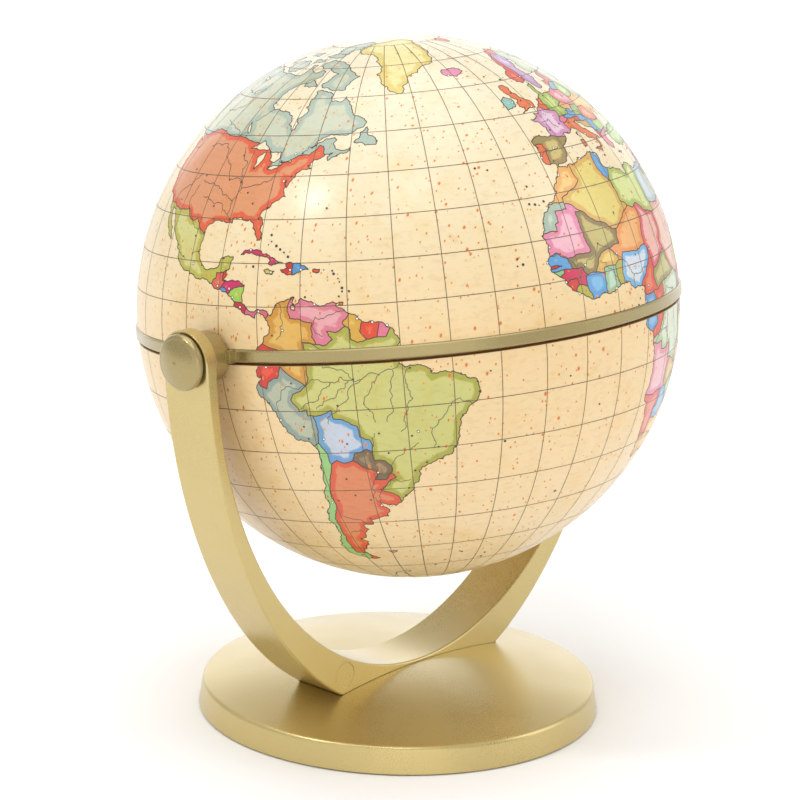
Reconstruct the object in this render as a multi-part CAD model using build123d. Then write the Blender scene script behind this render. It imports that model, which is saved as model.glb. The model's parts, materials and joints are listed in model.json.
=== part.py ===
from build123d import *
import os
from math import acos, degrees, sqrt

# Desktop globe: a printed ball that spins in an equator ring, and a ring that
# tilts between the two ends of a U-shaped arm on a round weighted base.
# Millimetres, +Z up, origin at the centre of the underside of the foot pad.
# The tilt axis runs along X; the globe's north end leans towards +Y at rest.

# ---- overall sizes ----------------------------------------------------------
ball_diameter = 106.0
pivot_height = 82.5
rest_tilt = 8.5
base_diameter = 80.0

# ---- base -------------------------------------------------------------------
pad_thickness = 1.0
plate_thickness = 1.2
plate_side_gap = 0.3
weight_thickness = 3.0
weight_roof_gap = 0.3
skirt_lift = 0.3
rim_inset = 0.8
rim_height = 5.5
rim_rounding = 0.9
dome_rise = 5.1
cover_wall = 1.7
clamp_rib_inset = 5.0
clamp_rib_width = 2.0
boss_diameter = 5.2
boss_to_skirt = 0.8
boss_to_weight = 0.9
plate_screw_count = 3
plate_screw_diameter = 1.9
plate_screw_head = 3.6
plate_screw_length = 4.2

# ---- arm --------------------------------------------------------------------
arm_width = 11.7
arm_over_dome = 0.4
arm_heel_depth = 2.9
arm_inner_centre_rise = 5.7
arm_outer_centre_rise = 10.4
arm_edge_rounding = 0.35
arm_slot_gap = 0.12
arm_screw_spacing = 16.0
arm_screw_diameter = 3.0
arm_screw_head = 5.6
arm_screw_length = 7.4
mould_mark_radius = 2.6
mould_mark_depth = 0.07
mould_mark_place = (-21.8, 12.8)

# ---- tilt pivots ------------------------------------------------------------
pivot_screw_diameter = 3.0
pivot_screw_length = 6.3
pivot_head_diameter = 7.0
pivot_head_thickness = 1.3
pivot_running_gap = 0.1
axial_play = 0.05
friction_washer_thickness = 0.6
friction_washer_diameter = 7.2
spring_washer_thickness = 0.4
spring_washer_diameter = 6.6
end_web = 2.3
end_recess = 0.3
inner_spotface_diameter = 7.8
outer_spotface_diameter = 11.1
cap_diameter = 10.7
cap_rim_gap = 0.75
cap_rim_height = 0.5
cap_shoulder = 0.9
cap_dome_rise = 0.9

# ---- equator ring -----------------------------------------------------------
ring_height = 2.4
ring_proud = 0.35
ring_sunk = 2.4
ring_edge_chamfer = 0.3
ring_boss_diameter = 9.6
ring_boss_length = 3.6
ring_boss_clearance = 0.6
ring_boss_rounding = 0.4
ring_lug_width = 11.8
ring_lug_depth = 1.0
insert_diameter = 4.4
insert_length = 3.0

# ---- ball -------------------------------------------------------------------
map_sheet_thickness = 0.3
glue_gap = 0.02
shell_wall = 1.5
shell_seat_height = 7.5
collar_half_height = 6.5
collar_wall = 2.2
collar_running_gap = 0.25
gap_above_ring = 0.06
gap_below_ring = 0.6

# ---- worked-out places ------------------------------------------------------
ball_radius = ball_diameter / 2
base_radius = base_diameter / 2
plate_top = pad_thickness + plate_thickness
weight_top = plate_top + weight_thickness
rim_radius = base_radius - rim_inset
spin_axis_frame = Pos(0, 0, pivot_height) * Rot(X=-rest_tilt)
ring_inner_radius = ball_radius - ring_sunk
collar_radius = ring_inner_radius - collar_running_gap

# distances out along X from the ball's centre, from the ring's boss to the screw's head
ring_boss_back = ball_radius + ring_boss_clearance
pivot_face = ring_boss_back + ring_boss_length
inner_web_face = pivot_face + friction_washer_thickness + axial_play
outer_web_face = inner_web_face + end_web
head_face = outer_web_face + spring_washer_thickness + axial_play


def turned(*edges):
    """Solid of revolution about Z from a closed outline drawn as (radius, height)."""
    return revolve(Plane.XZ * make_face(list(edges)), Axis.Z)


def closed_outline(*points):
    """Straight edges through the points, back to the first."""
    return [Line(a, b) for a, b in zip(points, points[1:] + points[:1])]


def tube(outer_diameter, inner_diameter, height):
    """Plain washer or tube standing on the XY plane."""
    inner, outer = inner_diameter / 2, outer_diameter / 2
    return turned(*closed_outline((inner, 0), (outer, 0), (outer, height), (inner, height)))


def rod(diameter, height):
    """Plain round rod standing on the XY plane."""
    return Cylinder(diameter / 2, height, align=(Align.CENTER, Align.CENTER, Align.MIN))


def countersunk_screw(shank, head, length):
    """Countersunk screw, head flat on the XY plane and tip at the top, with a cross recess."""
    cone = (head - shank) / 2
    body = turned(*closed_outline((0, 0), (head / 2, 0), (shank / 2, cone), (shank / 2, length), (0, length)))
    return body - cross_recess(head * 0.6, cone * 0.6)


def cross_recess(span, depth):
    """Two crossed slots cut upwards from the XY plane."""
    slot = Box(span, span * 0.25, depth, align=(Align.CENTER, Align.CENTER, Align.MIN))
    return slot + Rot(Z=90) * slot


def countersink(shank, head, length, clearance):
    """Space for a countersunk screw, opened up all round by the clearance."""
    wide, narrow = head / 2 + clearance, shank / 2 + clearance
    cone = (head - shank) / 2
    return turned(*closed_outline((0, 0), (wide, 0), (narrow, cone), (narrow, length), (0, length)))


def ellipse_slab(half_span, depth, centre_rise, width):
    """Elliptic slab across the tilt axis, its centre a little above the axis."""
    outline = Pos(0, pivot_height + centre_rise) * Ellipse(half_span, depth)
    return Pos(0, width / 2, 0) * extrude(Plane.XZ * outline, amount=width)


def on_pivot(side, distance, part):
    """Place a part that stands on the XY plane at this distance out along the tilt axis."""
    seat = Plane(origin=(side * distance, 0, pivot_height), x_dir=(0, 1, 0), z_dir=(side, 0, 0))
    return seat.location * part


def crown_arc(centre_z, radius, width):
    """Arc centred on the axis, from a half-width up to its top on the axis."""
    start = degrees(acos(width / radius))
    return CenterArc((0, centre_z), radius, start, 90 - start)


def crown_radius(width, rise):
    """Radius of an arc that rises this much over a half-width."""
    return (width**2 + rise**2) / (2 * rise)


def half_span_through(reach, centre_rise, depth):
    """Half-span of an ellipse that is this far out where it passes the tilt axis."""
    return reach / sqrt(1 - (centre_rise / depth)**2)


dome_top = rim_height + dome_rise
dome_radius = crown_radius(rim_radius, dome_rise)
dome_centre_z = dome_top - dome_radius
arm_inner_depth = pivot_height + arm_inner_centre_rise - dome_top - arm_over_dome
arm_outer_depth = pivot_height + arm_outer_centre_rise - weight_top + arm_heel_depth
arm_inner_half_span = half_span_through(inner_web_face, arm_inner_centre_rise, arm_inner_depth)
arm_outer_half_span = half_span_through(outer_web_face + end_recess, arm_outer_centre_rise, arm_outer_depth)


# ---- base -------------------------------------------------------------------
def dome_height(radius, inset=0.0):
    """Height of the dome's surface, or of one inset below it, at a radius."""
    return dome_centre_z + sqrt((dome_radius - inset)**2 - radius**2)


def skirt_inner_radius(height):
    """Inside radius of the flared skirt, from the table up to the ceiling's edge."""
    ceiling = dome_height(rim_radius - cover_wall, cover_wall)
    return base_radius - cover_wall - rim_inset * height / ceiling


boss_circle_radius = skirt_inner_radius(plate_top) - boss_to_skirt - boss_diameter / 2
weight_radius = boss_circle_radius - boss_diameter / 2 - boss_to_weight


def plate_screw_places():
    return PolarLocations(boss_circle_radius, plate_screw_count, start_angle=90)


def under_dome(inset):
    """Everything from the table up to one inset below the dome's surface."""
    radius = rim_radius - inset
    return turned(
        Line((0, 0), (radius, 0)),
        Line((radius, 0), (radius, dome_height(radius, inset))),
        crown_arc(dome_centre_z, dome_radius - inset, radius),
        Line((0, dome_height(0, inset)), (0, 0)),
    )


def base_cover():
    """Domed shell with a rounded rim and a slightly flared skirt, open below."""
    outside = turned(
        Line((0, skirt_lift), (base_radius, skirt_lift)),
        Line((base_radius, skirt_lift), (rim_radius, rim_height)),
        crown_arc(dome_centre_z, dome_radius, rim_radius),
        Line((0, dome_height(0)), (0, skirt_lift)),
    )
    rim = outside.edges().filter_by(lambda edge: edge.is_closed).sort_by(Axis.Z)[-1]
    outside = fillet(rim, rim_rounding)
    ceiling_radius = rim_radius - cover_wall
    inside = turned(
        Line((0, 0), (skirt_inner_radius(0), 0)),
        Line((skirt_inner_radius(0), 0), (ceiling_radius, dome_height(ceiling_radius, cover_wall))),
        crown_arc(dome_centre_z, dome_radius - cover_wall, ceiling_radius),
        Line((0, dome_height(0, cover_wall)), (0, 0)),
    )
    rib_outside = 2 * (weight_radius - clamp_rib_inset)
    rib = Pos(0, 0, weight_top) * tube(rib_outside, rib_outside - 2 * clamp_rib_width, rim_height)
    boss = Pos(0, 0, plate_top) * rod(boss_diameter, rim_height)
    fittings = (rib + [place * boss for place in plate_screw_places()]) & inside
    slot = ellipse_slab(arm_outer_half_span + arm_slot_gap, arm_outer_depth + arm_slot_gap,
                        arm_outer_centre_rise, arm_width + 2 * arm_slot_gap)
    hole = Pos(0, 0, pad_thickness) * rod(plate_screw_diameter + 2 * glue_gap, plate_screw_length + glue_gap)
    return outside - inside + fittings - slot - [place * hole for place in plate_screw_places()]


def base_weight():
    """Steel ballast disc that the arm is screwed to, which clamps the cover between them."""
    disc = Pos(0, 0, plate_top) * rod(2 * weight_radius, weight_thickness)
    disc = disc & under_dome(cover_wall + weight_roof_gap)
    sink = countersink(arm_screw_diameter, arm_screw_head, arm_screw_length, glue_gap)
    return disc - [Pos(x, 0, plate_top) * sink for x in arm_screw_places()]


def base_plate():
    """Flat closing plate under the ballast."""
    radius = skirt_inner_radius(plate_top) - plate_side_gap
    disc = Pos(0, 0, pad_thickness) * rod(2 * radius, plate_thickness)
    sink = Pos(0, 0, pad_thickness) * countersink(plate_screw_diameter, plate_screw_head, plate_screw_length, glue_gap)
    return disc - [place * sink for place in plate_screw_places()]


def foot_pad():
    """Soft disc under the plate, inside the circle of its screws."""
    return rod(2 * weight_radius, pad_thickness)


def plate_screws():
    screw = Pos(0, 0, pad_thickness) * countersunk_screw(plate_screw_diameter, plate_screw_head, plate_screw_length)
    return Compound(children=[place * screw for place in plate_screw_places()])


# ---- arm --------------------------------------------------------------------
def arm_screw_places():
    return (-arm_screw_spacing / 2, arm_screw_spacing / 2)


def arm_screws():
    screw = countersunk_screw(arm_screw_diameter, arm_screw_head, arm_screw_length)
    return Compound(children=[Pos(x, 0, plate_top) * screw for x in arm_screw_places()])


def arm():
    """Crescent-shaped arm: thin rounded ends at the pivots, a thick foot that enters the base."""
    outer = ellipse_slab(arm_outer_half_span, arm_outer_depth, arm_outer_centre_rise, arm_width)
    inner = ellipse_slab(arm_inner_half_span, arm_inner_depth, arm_inner_centre_rise, 2 * arm_width)
    reach = 2.2 * arm_outer_half_span
    legs = Pos(0, 0, weight_top) * Box(reach, arm_width, pivot_height - weight_top,
                                       align=(Align.CENTER, Align.CENTER, Align.MIN))
    ends = Pos(0, 0, pivot_height) * Rot(Y=90) * Cylinder(arm_width / 2, reach)
    hoop = outer - inner
    hoop = fillet(hoop.edges().filter_by(lambda edge: edge.is_closed), arm_edge_rounding)
    body = hoop & (legs + ends)
    shank_hole = rod(pivot_screw_diameter + 2 * pivot_running_gap, reach)
    for side in (-1, 1):
        body -= on_pivot(side, inner_web_face - end_web, shank_hole)
        body -= on_pivot(side, inner_web_face - end_web, rod(inner_spotface_diameter, end_web))
        body -= on_pivot(side, outer_web_face, rod(outer_spotface_diameter, end_web))
    pilot = rod(arm_screw_diameter + 2 * glue_gap, arm_screw_length + glue_gap)
    body -= [Pos(x, 0, plate_top) * pilot for x in arm_screw_places()]
    mark_x, mark_z = mould_mark_place
    mark = Rot(X=90) * Cylinder(mould_mark_radius, 2 * mould_mark_depth)
    return body - Pos(mark_x, -arm_width / 2, mark_z) * mark


# ---- tilt pivots ------------------------------------------------------------
def pivot_screw(side):
    """Cheese-head screw, its shank running in the arm and its tip in the ring's insert."""
    head = rod(pivot_head_diameter, pivot_head_thickness)
    recess = Pos(0, 0, pivot_head_thickness * 0.4) * cross_recess(pivot_head_diameter * 0.6, pivot_head_thickness)
    shank = Pos(0, 0, -pivot_screw_length) * rod(pivot_screw_diameter, pivot_screw_length)
    return on_pivot(side, head_face, head + shank - recess)


def pivot_cap(side):
    """Domed button pressed over the screw's head; its rim stands clear of the arm."""
    base = outer_web_face + cap_rim_gap
    radius = cap_diameter / 2
    flat = radius - cap_shoulder
    shoulder_top = cap_rim_height + cap_shoulder
    top = shoulder_top + cap_dome_rise
    crown = crown_radius(flat, cap_dome_rise)
    button = turned(
        Line((0, 0), (radius, 0)),
        Line((radius, 0), (radius, cap_rim_height)),
        CenterArc((flat, cap_rim_height), cap_shoulder, 0, 90),
        crown_arc(top - crown, crown, flat),
        Line((0, top), (0, 0)),
    )
    socket = on_pivot(side, head_face, rod(pivot_head_diameter + 2 * glue_gap, pivot_head_thickness + glue_gap))
    return on_pivot(side, base, button) - socket


def friction_washer(side):
    return on_pivot(side, pivot_face, tube(friction_washer_diameter, pivot_screw_diameter + 2 * pivot_running_gap,
                                           friction_washer_thickness))


def spring_washer(side):
    return on_pivot(side, head_face - spring_washer_thickness,
                    tube(spring_washer_diameter, pivot_screw_diameter + 2 * pivot_running_gap,
                         spring_washer_thickness))


def boss_insert(side):
    """Threaded brass insert set flush in the ring's boss."""
    return on_pivot(side, pivot_face - insert_length,
                    tube(insert_diameter, pivot_screw_diameter + 2 * glue_gap, insert_length))


# ---- equator ring -----------------------------------------------------------
def equator_ring():
    """Flat hoop round the ball, with a lug and a round boss at each end of the tilt axis."""
    outer = ball_radius + ring_proud
    half = ring_height / 2
    hoop = turned(*closed_outline(
        (ring_inner_radius, -half),
        (outer - ring_edge_chamfer, -half),
        (outer, -half + ring_edge_chamfer),
        (outer, half - ring_edge_chamfer),
        (outer - ring_edge_chamfer, half),
        (ring_inner_radius, half),
    ))
    lug_length = ring_boss_back + ring_lug_depth - ring_inner_radius
    lug = Box(lug_length, ring_lug_width, ring_height, align=(Align.MIN, Align.CENTER, Align.CENTER))
    opening = Cylinder(ring_inner_radius, 2 * ring_height)
    lugs = [Rot(Z=turn) * Pos(ring_inner_radius, 0, 0) * lug for turn in (0, 180)]
    body = spin_axis_frame * ((hoop + lugs) - opening)
    boss_length = pivot_face - ring_boss_back
    boss = rod(ring_boss_diameter, boss_length)
    boss = fillet(boss.edges().filter_by(GeomType.CIRCLE), ring_boss_rounding)
    pocket = rod(insert_diameter + 2 * glue_gap, insert_length)
    for side in (-1, 1):
        body += on_pivot(side, ring_boss_back, boss)
        body -= on_pivot(side, pivot_face - insert_length, pocket)
    return body


# ---- ball -------------------------------------------------------------------
def width_at(radius, height):
    """Half-width of a sphere about the ball's centre at a height above the equator."""
    return sqrt(radius**2 - height**2)


def sphere_arc(radius, height):
    """Arc about the ball's centre, from a height above the equator up to the pole."""
    return crown_arc(0, radius, width_at(radius, height))


def half_shell(rim):
    """Moulded hemisphere whose rim stands at this height, with a straight seat for the collar."""
    outer = ball_radius - map_sheet_thickness - glue_gap
    inner = outer - shell_wall
    seat = collar_radius + glue_gap
    return turned(
        sphere_arc(outer, rim),
        Line((0, outer), (0, inner)),
        sphere_arc(inner, shell_seat_height),
        Line((width_at(inner, shell_seat_height), shell_seat_height), (seat, shell_seat_height)),
        Line((seat, shell_seat_height), (seat, rim)),
        Line((seat, rim), (width_at(outer, rim), rim)),
    )


def half_map(rim):
    """Printed map sheet laid over a hemisphere."""
    outer = ball_radius
    inner = outer - map_sheet_thickness
    return turned(
        sphere_arc(outer, rim),
        Line((0, outer), (0, inner)),
        sphere_arc(inner, rim),
        Line((width_at(inner, rim), rim), (width_at(outer, rim), rim)),
    )


def joining_collar():
    """Hoop inside the equator that both hemispheres are glued to and the ring runs on."""
    ring = tube(2 * collar_radius, 2 * (collar_radius - collar_wall), 2 * collar_half_height)
    return spin_axis_frame * Pos(0, 0, -collar_half_height) * ring


north_rim = ring_height / 2 + gap_above_ring
south_rim = ring_height / 2 + gap_below_ring
south_frame = spin_axis_frame * Rot(X=180)

pieces = {
    "base_cover": base_cover(),
    "base_weight": base_weight(),
    "base_plate": base_plate(),
    "foot_pad": foot_pad(),
    "plate_screws": plate_screws(),
    "arm": arm(),
    "arm_screws": arm_screws(),
    "equator_ring": equator_ring(),
    "joining_collar": joining_collar(),
    "north_shell": spin_axis_frame * half_shell(north_rim),
    "south_shell": south_frame * half_shell(south_rim),
    "north_map": spin_axis_frame * half_map(north_rim),
    "south_map": south_frame * half_map(south_rim),
}
for side_name, side in (("left", -1), ("right", 1)):
    pieces["boss_insert_" + side_name] = boss_insert(side)
    pieces["friction_washer_" + side_name] = friction_washer(side)
    pieces["spring_washer_" + side_name] = spring_washer(side)
    pieces["pivot_screw_" + side_name] = pivot_screw(side)
    pieces["pivot_cap_" + side_name] = pivot_cap(side)

os.makedirs("parts", exist_ok=True)
for name, piece in pieces.items():
    export_step(piece, "parts/" + name + ".step")
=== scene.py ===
import json
import random
from math import cos, degrees, hypot, pi, radians, sin

import bpy
from mathutils import Matrix, Vector, kdtree
from mathutils.geometry import delaunay_2d_cdt


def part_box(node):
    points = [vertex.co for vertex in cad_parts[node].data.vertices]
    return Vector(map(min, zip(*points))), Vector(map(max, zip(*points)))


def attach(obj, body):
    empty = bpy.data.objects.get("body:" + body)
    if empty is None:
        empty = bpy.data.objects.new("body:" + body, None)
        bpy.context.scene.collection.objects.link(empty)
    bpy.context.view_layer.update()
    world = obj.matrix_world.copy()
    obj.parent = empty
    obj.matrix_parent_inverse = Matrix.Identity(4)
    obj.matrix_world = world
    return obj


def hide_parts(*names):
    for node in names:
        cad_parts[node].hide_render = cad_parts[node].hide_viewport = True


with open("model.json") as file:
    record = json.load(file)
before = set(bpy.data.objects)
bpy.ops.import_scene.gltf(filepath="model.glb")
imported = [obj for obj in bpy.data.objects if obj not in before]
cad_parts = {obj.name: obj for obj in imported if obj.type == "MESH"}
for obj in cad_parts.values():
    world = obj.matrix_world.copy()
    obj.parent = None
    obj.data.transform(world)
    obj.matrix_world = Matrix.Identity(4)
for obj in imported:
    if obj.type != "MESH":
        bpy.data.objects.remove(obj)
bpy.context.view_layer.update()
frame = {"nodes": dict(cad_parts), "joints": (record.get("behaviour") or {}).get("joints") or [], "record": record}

# A desktop globe on a gold stand. The stand, ring and shells are the CAD nodes. The printed
# map is built here, from outlines in degrees, as thin sheets and ink that turn with the ball.

nodes = frame["nodes"]
MM = 0.001


# ---- places read from the frame -----------------------------------------------
spin_joint = next(joint for joint in frame["joints"] if joint["name"] == "globe_spin")
ball_centre = Vector(spin_joint["pos_m"])
north_axis = Vector(spin_joint["axis"]).normalized()
ball_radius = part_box("north_map")[1].z - ball_centre.z


def placed(name, data):
    """A new object in the scene."""
    made = bpy.data.objects.new(name, data)
    bpy.context.scene.collection.objects.link(made)
    return made


# ---- shader helpers -----------------------------------------------------------
def srgb(red, green, blue):
    """Linear colour from 8-bit display values, by the sRGB curve."""
    def linear(value):
        value /= 255
        return value / 12.92 if value <= 0.04045 else ((value + 0.055) / 1.055) ** 2.4
    return (linear(red), linear(green), linear(blue), 1.0)


class Shader:
    """A node tree with one Principled BSDF, and short calls that add nodes to it."""

    def __init__(self, name, **constants):
        self.material = bpy.data.materials.new(name)
        self.material.use_nodes = True
        self.tree = self.material.node_tree
        self.skin = self.tree.nodes["Principled BSDF"]
        for socket, value in constants.items():
            self.skin.inputs[socket.replace("_", " ")].default_value = value

    def node(self, kind, links=(), **settings):
        made = self.tree.nodes.new(kind)
        for key, value in settings.items():
            setattr(made, key, value)
        for socket, value in dict(links).items():
            self.feed(made.inputs[socket], value)
        return made

    def feed(self, socket, value):
        if isinstance(value, bpy.types.NodeSocket):
            self.tree.links.new(value, socket)
        else:
            socket.default_value = value

    def place(self):
        """Coordinates in metres that stay fixed to the piece."""
        return self.node("ShaderNodeTexCoord").outputs["Object"]

    def mapping(self, **settings):
        """Those coordinates turned or stretched."""
        return self.node("ShaderNodeMapping", {"Vector": self.place(), **settings}).outputs[0]

    def noise(self, scale, detail=3.0, rough=0.5, stretch=None):
        where = self.mapping(Scale=stretch) if stretch else self.place()
        links = {"Vector": where, "Scale": scale, "Detail": detail, "Roughness": rough}
        return self.node("ShaderNodeTexNoise", links).outputs["Fac"]

    def ramp(self, fac, *stops):
        made = self.node("ShaderNodeValToRGB", {"Fac": fac})
        for element, (position, colour) in zip(made.color_ramp.elements, stops):
            element.position = position
            element.color = colour
        return made.outputs["Color"]

    def mask(self, fac, start, end):
        """0 at start and 1 at end, straight between."""
        links = {"Value": fac, "From Min": start, "From Max": end}
        return self.node("ShaderNodeMapRange", links).outputs["Result"]

    def maths(self, operation, first, second):
        return self.node("ShaderNodeMath", {0: first, 1: second}, operation=operation).outputs[0]

    def mix(self, fac, first, second, blend_type="MIX"):
        made = self.node("ShaderNodeMix", data_type="RGBA", blend_type=blend_type)
        self.feed(made.inputs["Factor"], fac)
        self.feed(made.inputs["A"], first)
        self.feed(made.inputs["B"], second)
        return made.outputs["Result"]

    def bump(self, height, distance, normal=None, strength=1.0):
        links = {"Height": height, "Distance": distance, "Strength": strength}
        if normal is not None:
            links["Normal"] = normal
        return self.node("ShaderNodeBump", links).outputs[0]

    def colour(self, value):
        self.feed(self.skin.inputs["Base Color"], value)

    def roughness(self, value):
        self.feed(self.skin.inputs["Roughness"], value)

    def normal(self, value):
        self.feed(self.skin.inputs["Normal"], value)


# ---- the printed map, in degrees east and north ---------------------------------
# Every outline is a row of given "longitude,latitude" points. In a table of
# outlines, a line that starts with a space goes on with the row before.
SEAM = -170.0                  # the map's western end

AMERICAS = """
-168,65.6 -164,66.6 -162,66.2 -166.5,68.3 -163,69.5 -157,71.3 -150,70.5 -141,69.6 -135,69 -129,70
-125,69.8 -119,69 -115,68.2 -109,68 -102,67.8 -96,68 -95,69.5 -96,71.5 -93,71.5 -92,69.5 -88,68.5
-85,69.5 -82,69 -82,67 -86,66.2 -87,64.8 -91,63.8 -94,61.5 -94.5,59 -92.5,57 -88,56.5 -82.5,55.2
-82.2,53 -80,51.3 -79,52 -79.5,54.6 -77,56.5 -78.3,58.8 -77.5,60.5 -78,62.4 -74,62.2 -70,61 -69.5,59
-66,58.8 -64.5,60.3 -62.5,58 -61,56 -58,54.2 -55.8,52.8 -57,51.4 -60,50.2 -66.5,50.1 -69,48.8
-71,46.9 -68,48.6 -65,49.2 -64.3,48.6 -65,47.5 -64,46.2 -61.5,45.8 -60,46.5 -61,45.2 -64,44.4
-66,43.5 -66.2,44.4 -64.8,45.4 -67,44.9 -69.5,43.9 -70.6,43 -70.8,42 -70,41.7 -71.3,41.5 -73.8,40.8
-74,39.8 -75.2,38.7 -75.9,37.3 -76.4,39.2 -76.5,37 -75.6,35.3 -77.5,34.4 -79,33.4 -81,32 -81.4,30.7
-80.6,28.4 -80.1,26.8 -80.4,25.3 -81.2,25.2 -82,26.8 -82.8,28 -82.9,29.2 -84,30 -85.2,29.7
-86.5,30.4 -88.5,30.4 -89.3,30.2 -89.1,29.1 -90.5,29.2 -91.8,29.6 -94,29.6 -95.2,29 -97,28
-97.4,26.8 -97.2,25.7 -97.7,23.5 -97.8,22 -97.2,20.6 -96,19.2 -94.8,18.3 -93,18.5 -91.7,18.7
-90.6,19.6 -90.4,21 -88.5,21.6 -87,21.5 -87.4,20.2 -87.7,18.5 -88.2,18.3 -88.3,16.9 -88.9,15.9
-87.5,15.8 -86,15.9 -84.5,15.8 -83.2,15 -83.4,13.5 -83.7,12 -83.7,11 -82.8,9.8 -81.8,9 -80.7,8.8
-79.7,9.5 -78.5,9.4 -77.4,8.6 -76.8,8 -76.2,9 -75.5,10.5 -74.8,11 -73.5,11.3 -72,12.2 -71.3,12.3
-71.8,11 -71.1,10.4 -70.3,11.5 -69.8,12 -68.4,11.2 -67,10.6 -65,10.1 -64,10.6 -62,10.6 -62.5,10
-61,9.2 -60.5,8.5 -58.6,7.8 -58,6.7 -57,6 -55,6 -54,5.8 -52.8,5.2 -51.6,4.2 -50.8,2.5 -50,1.2
-50.6,0 -49.5,-1.2 -48.4,-0.8 -47,-0.8 -44.5,-2 -44.2,-3 -42,-2.8 -40,-2.9 -38.5,-3.8 -37,-4.8
-35.4,-5.2 -34.9,-7 -35,-9 -36.5,-10.6 -37.5,-12 -38.5,-13 -39,-15 -39.2,-17.8 -39.8,-19.7 -41,-22
-43.2,-23 -45,-23.5 -46.5,-24.1 -48.4,-25.6 -48.6,-27.5 -50,-29.4 -51.5,-31.6 -53.4,-34 -55,-34.9
-57,-34.5 -58.4,-34 -58.4,-34.7 -57.2,-35.5 -56.7,-36.6 -57.6,-38.1 -62,-39 -62.2,-40.7 -65,-41
-63.8,-42.4 -65.3,-43.5 -65.6,-45 -67.4,-46.2 -65.8,-47.2 -67.2,-49 -69,-50.8 -68.4,-52.4
-66.5,-54 -65.2,-54.7 -67,-55.3 -70,-55.2 -73,-53.5 -75,-51.5 -75.5,-48.5 -74.5,-46.5 -73,-44.5
-73,-42 -73.6,-40 -73.4,-38 -72.6,-35.5 -71.6,-33 -71.5,-30 -70.8,-27.5 -70.5,-24 -70.1,-21
-70.4,-18.4 -72.5,-17 -75.5,-15.2 -76.3,-13.8 -77.3,-12 -78.7,-9 -79.8,-7.3 -81.2,-6 -81.3,-4.4
-80.4,-3.2 -79.9,-2.5 -80.9,-2.2 -80.6,-0.6 -80,0.7 -78.9,1.4 -78.6,2.5 -77.2,4 -77.4,6.5
-78.2,7.6 -79.7,8.9 -80.4,8.2 -80.4,7.4 -82,8.2 -83.5,8.6 -84.7,9.7 -85.8,10.2 -85.8,11.2
-87.5,12.8 -89,13.3 -91.3,13.9 -93.5,15.5 -95,16.2 -98,16.3 -101.5,17.6 -104,19 -105.6,20.4
-105.5,22 -107,24 -109.4,26 -111,28 -112.8,30 -113.2,31.2 -114.8,31.6 -114.5,30.2 -112.8,28
-111.2,25.6 -110,23.2 -112.2,25 -114.8,27.8 -115.8,30.2 -117.1,32.5 -118.5,34 -120.6,34.6
-121.9,36.8 -123.8,39.3 -124.3,42 -124,46.2 -124.7,48.4 -122.6,47.5 -123,49 -127.5,51 -130.3,54.5
-133.5,57.5 -137,58.5 -141,60 -147,60.9 -151,60 -154,58 -158,56.2 -163,54.8 -158,58.5 -162,59.5
-165,61.5 -164.5,63.2 -161,64.5 -166,64.6
"""

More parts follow.
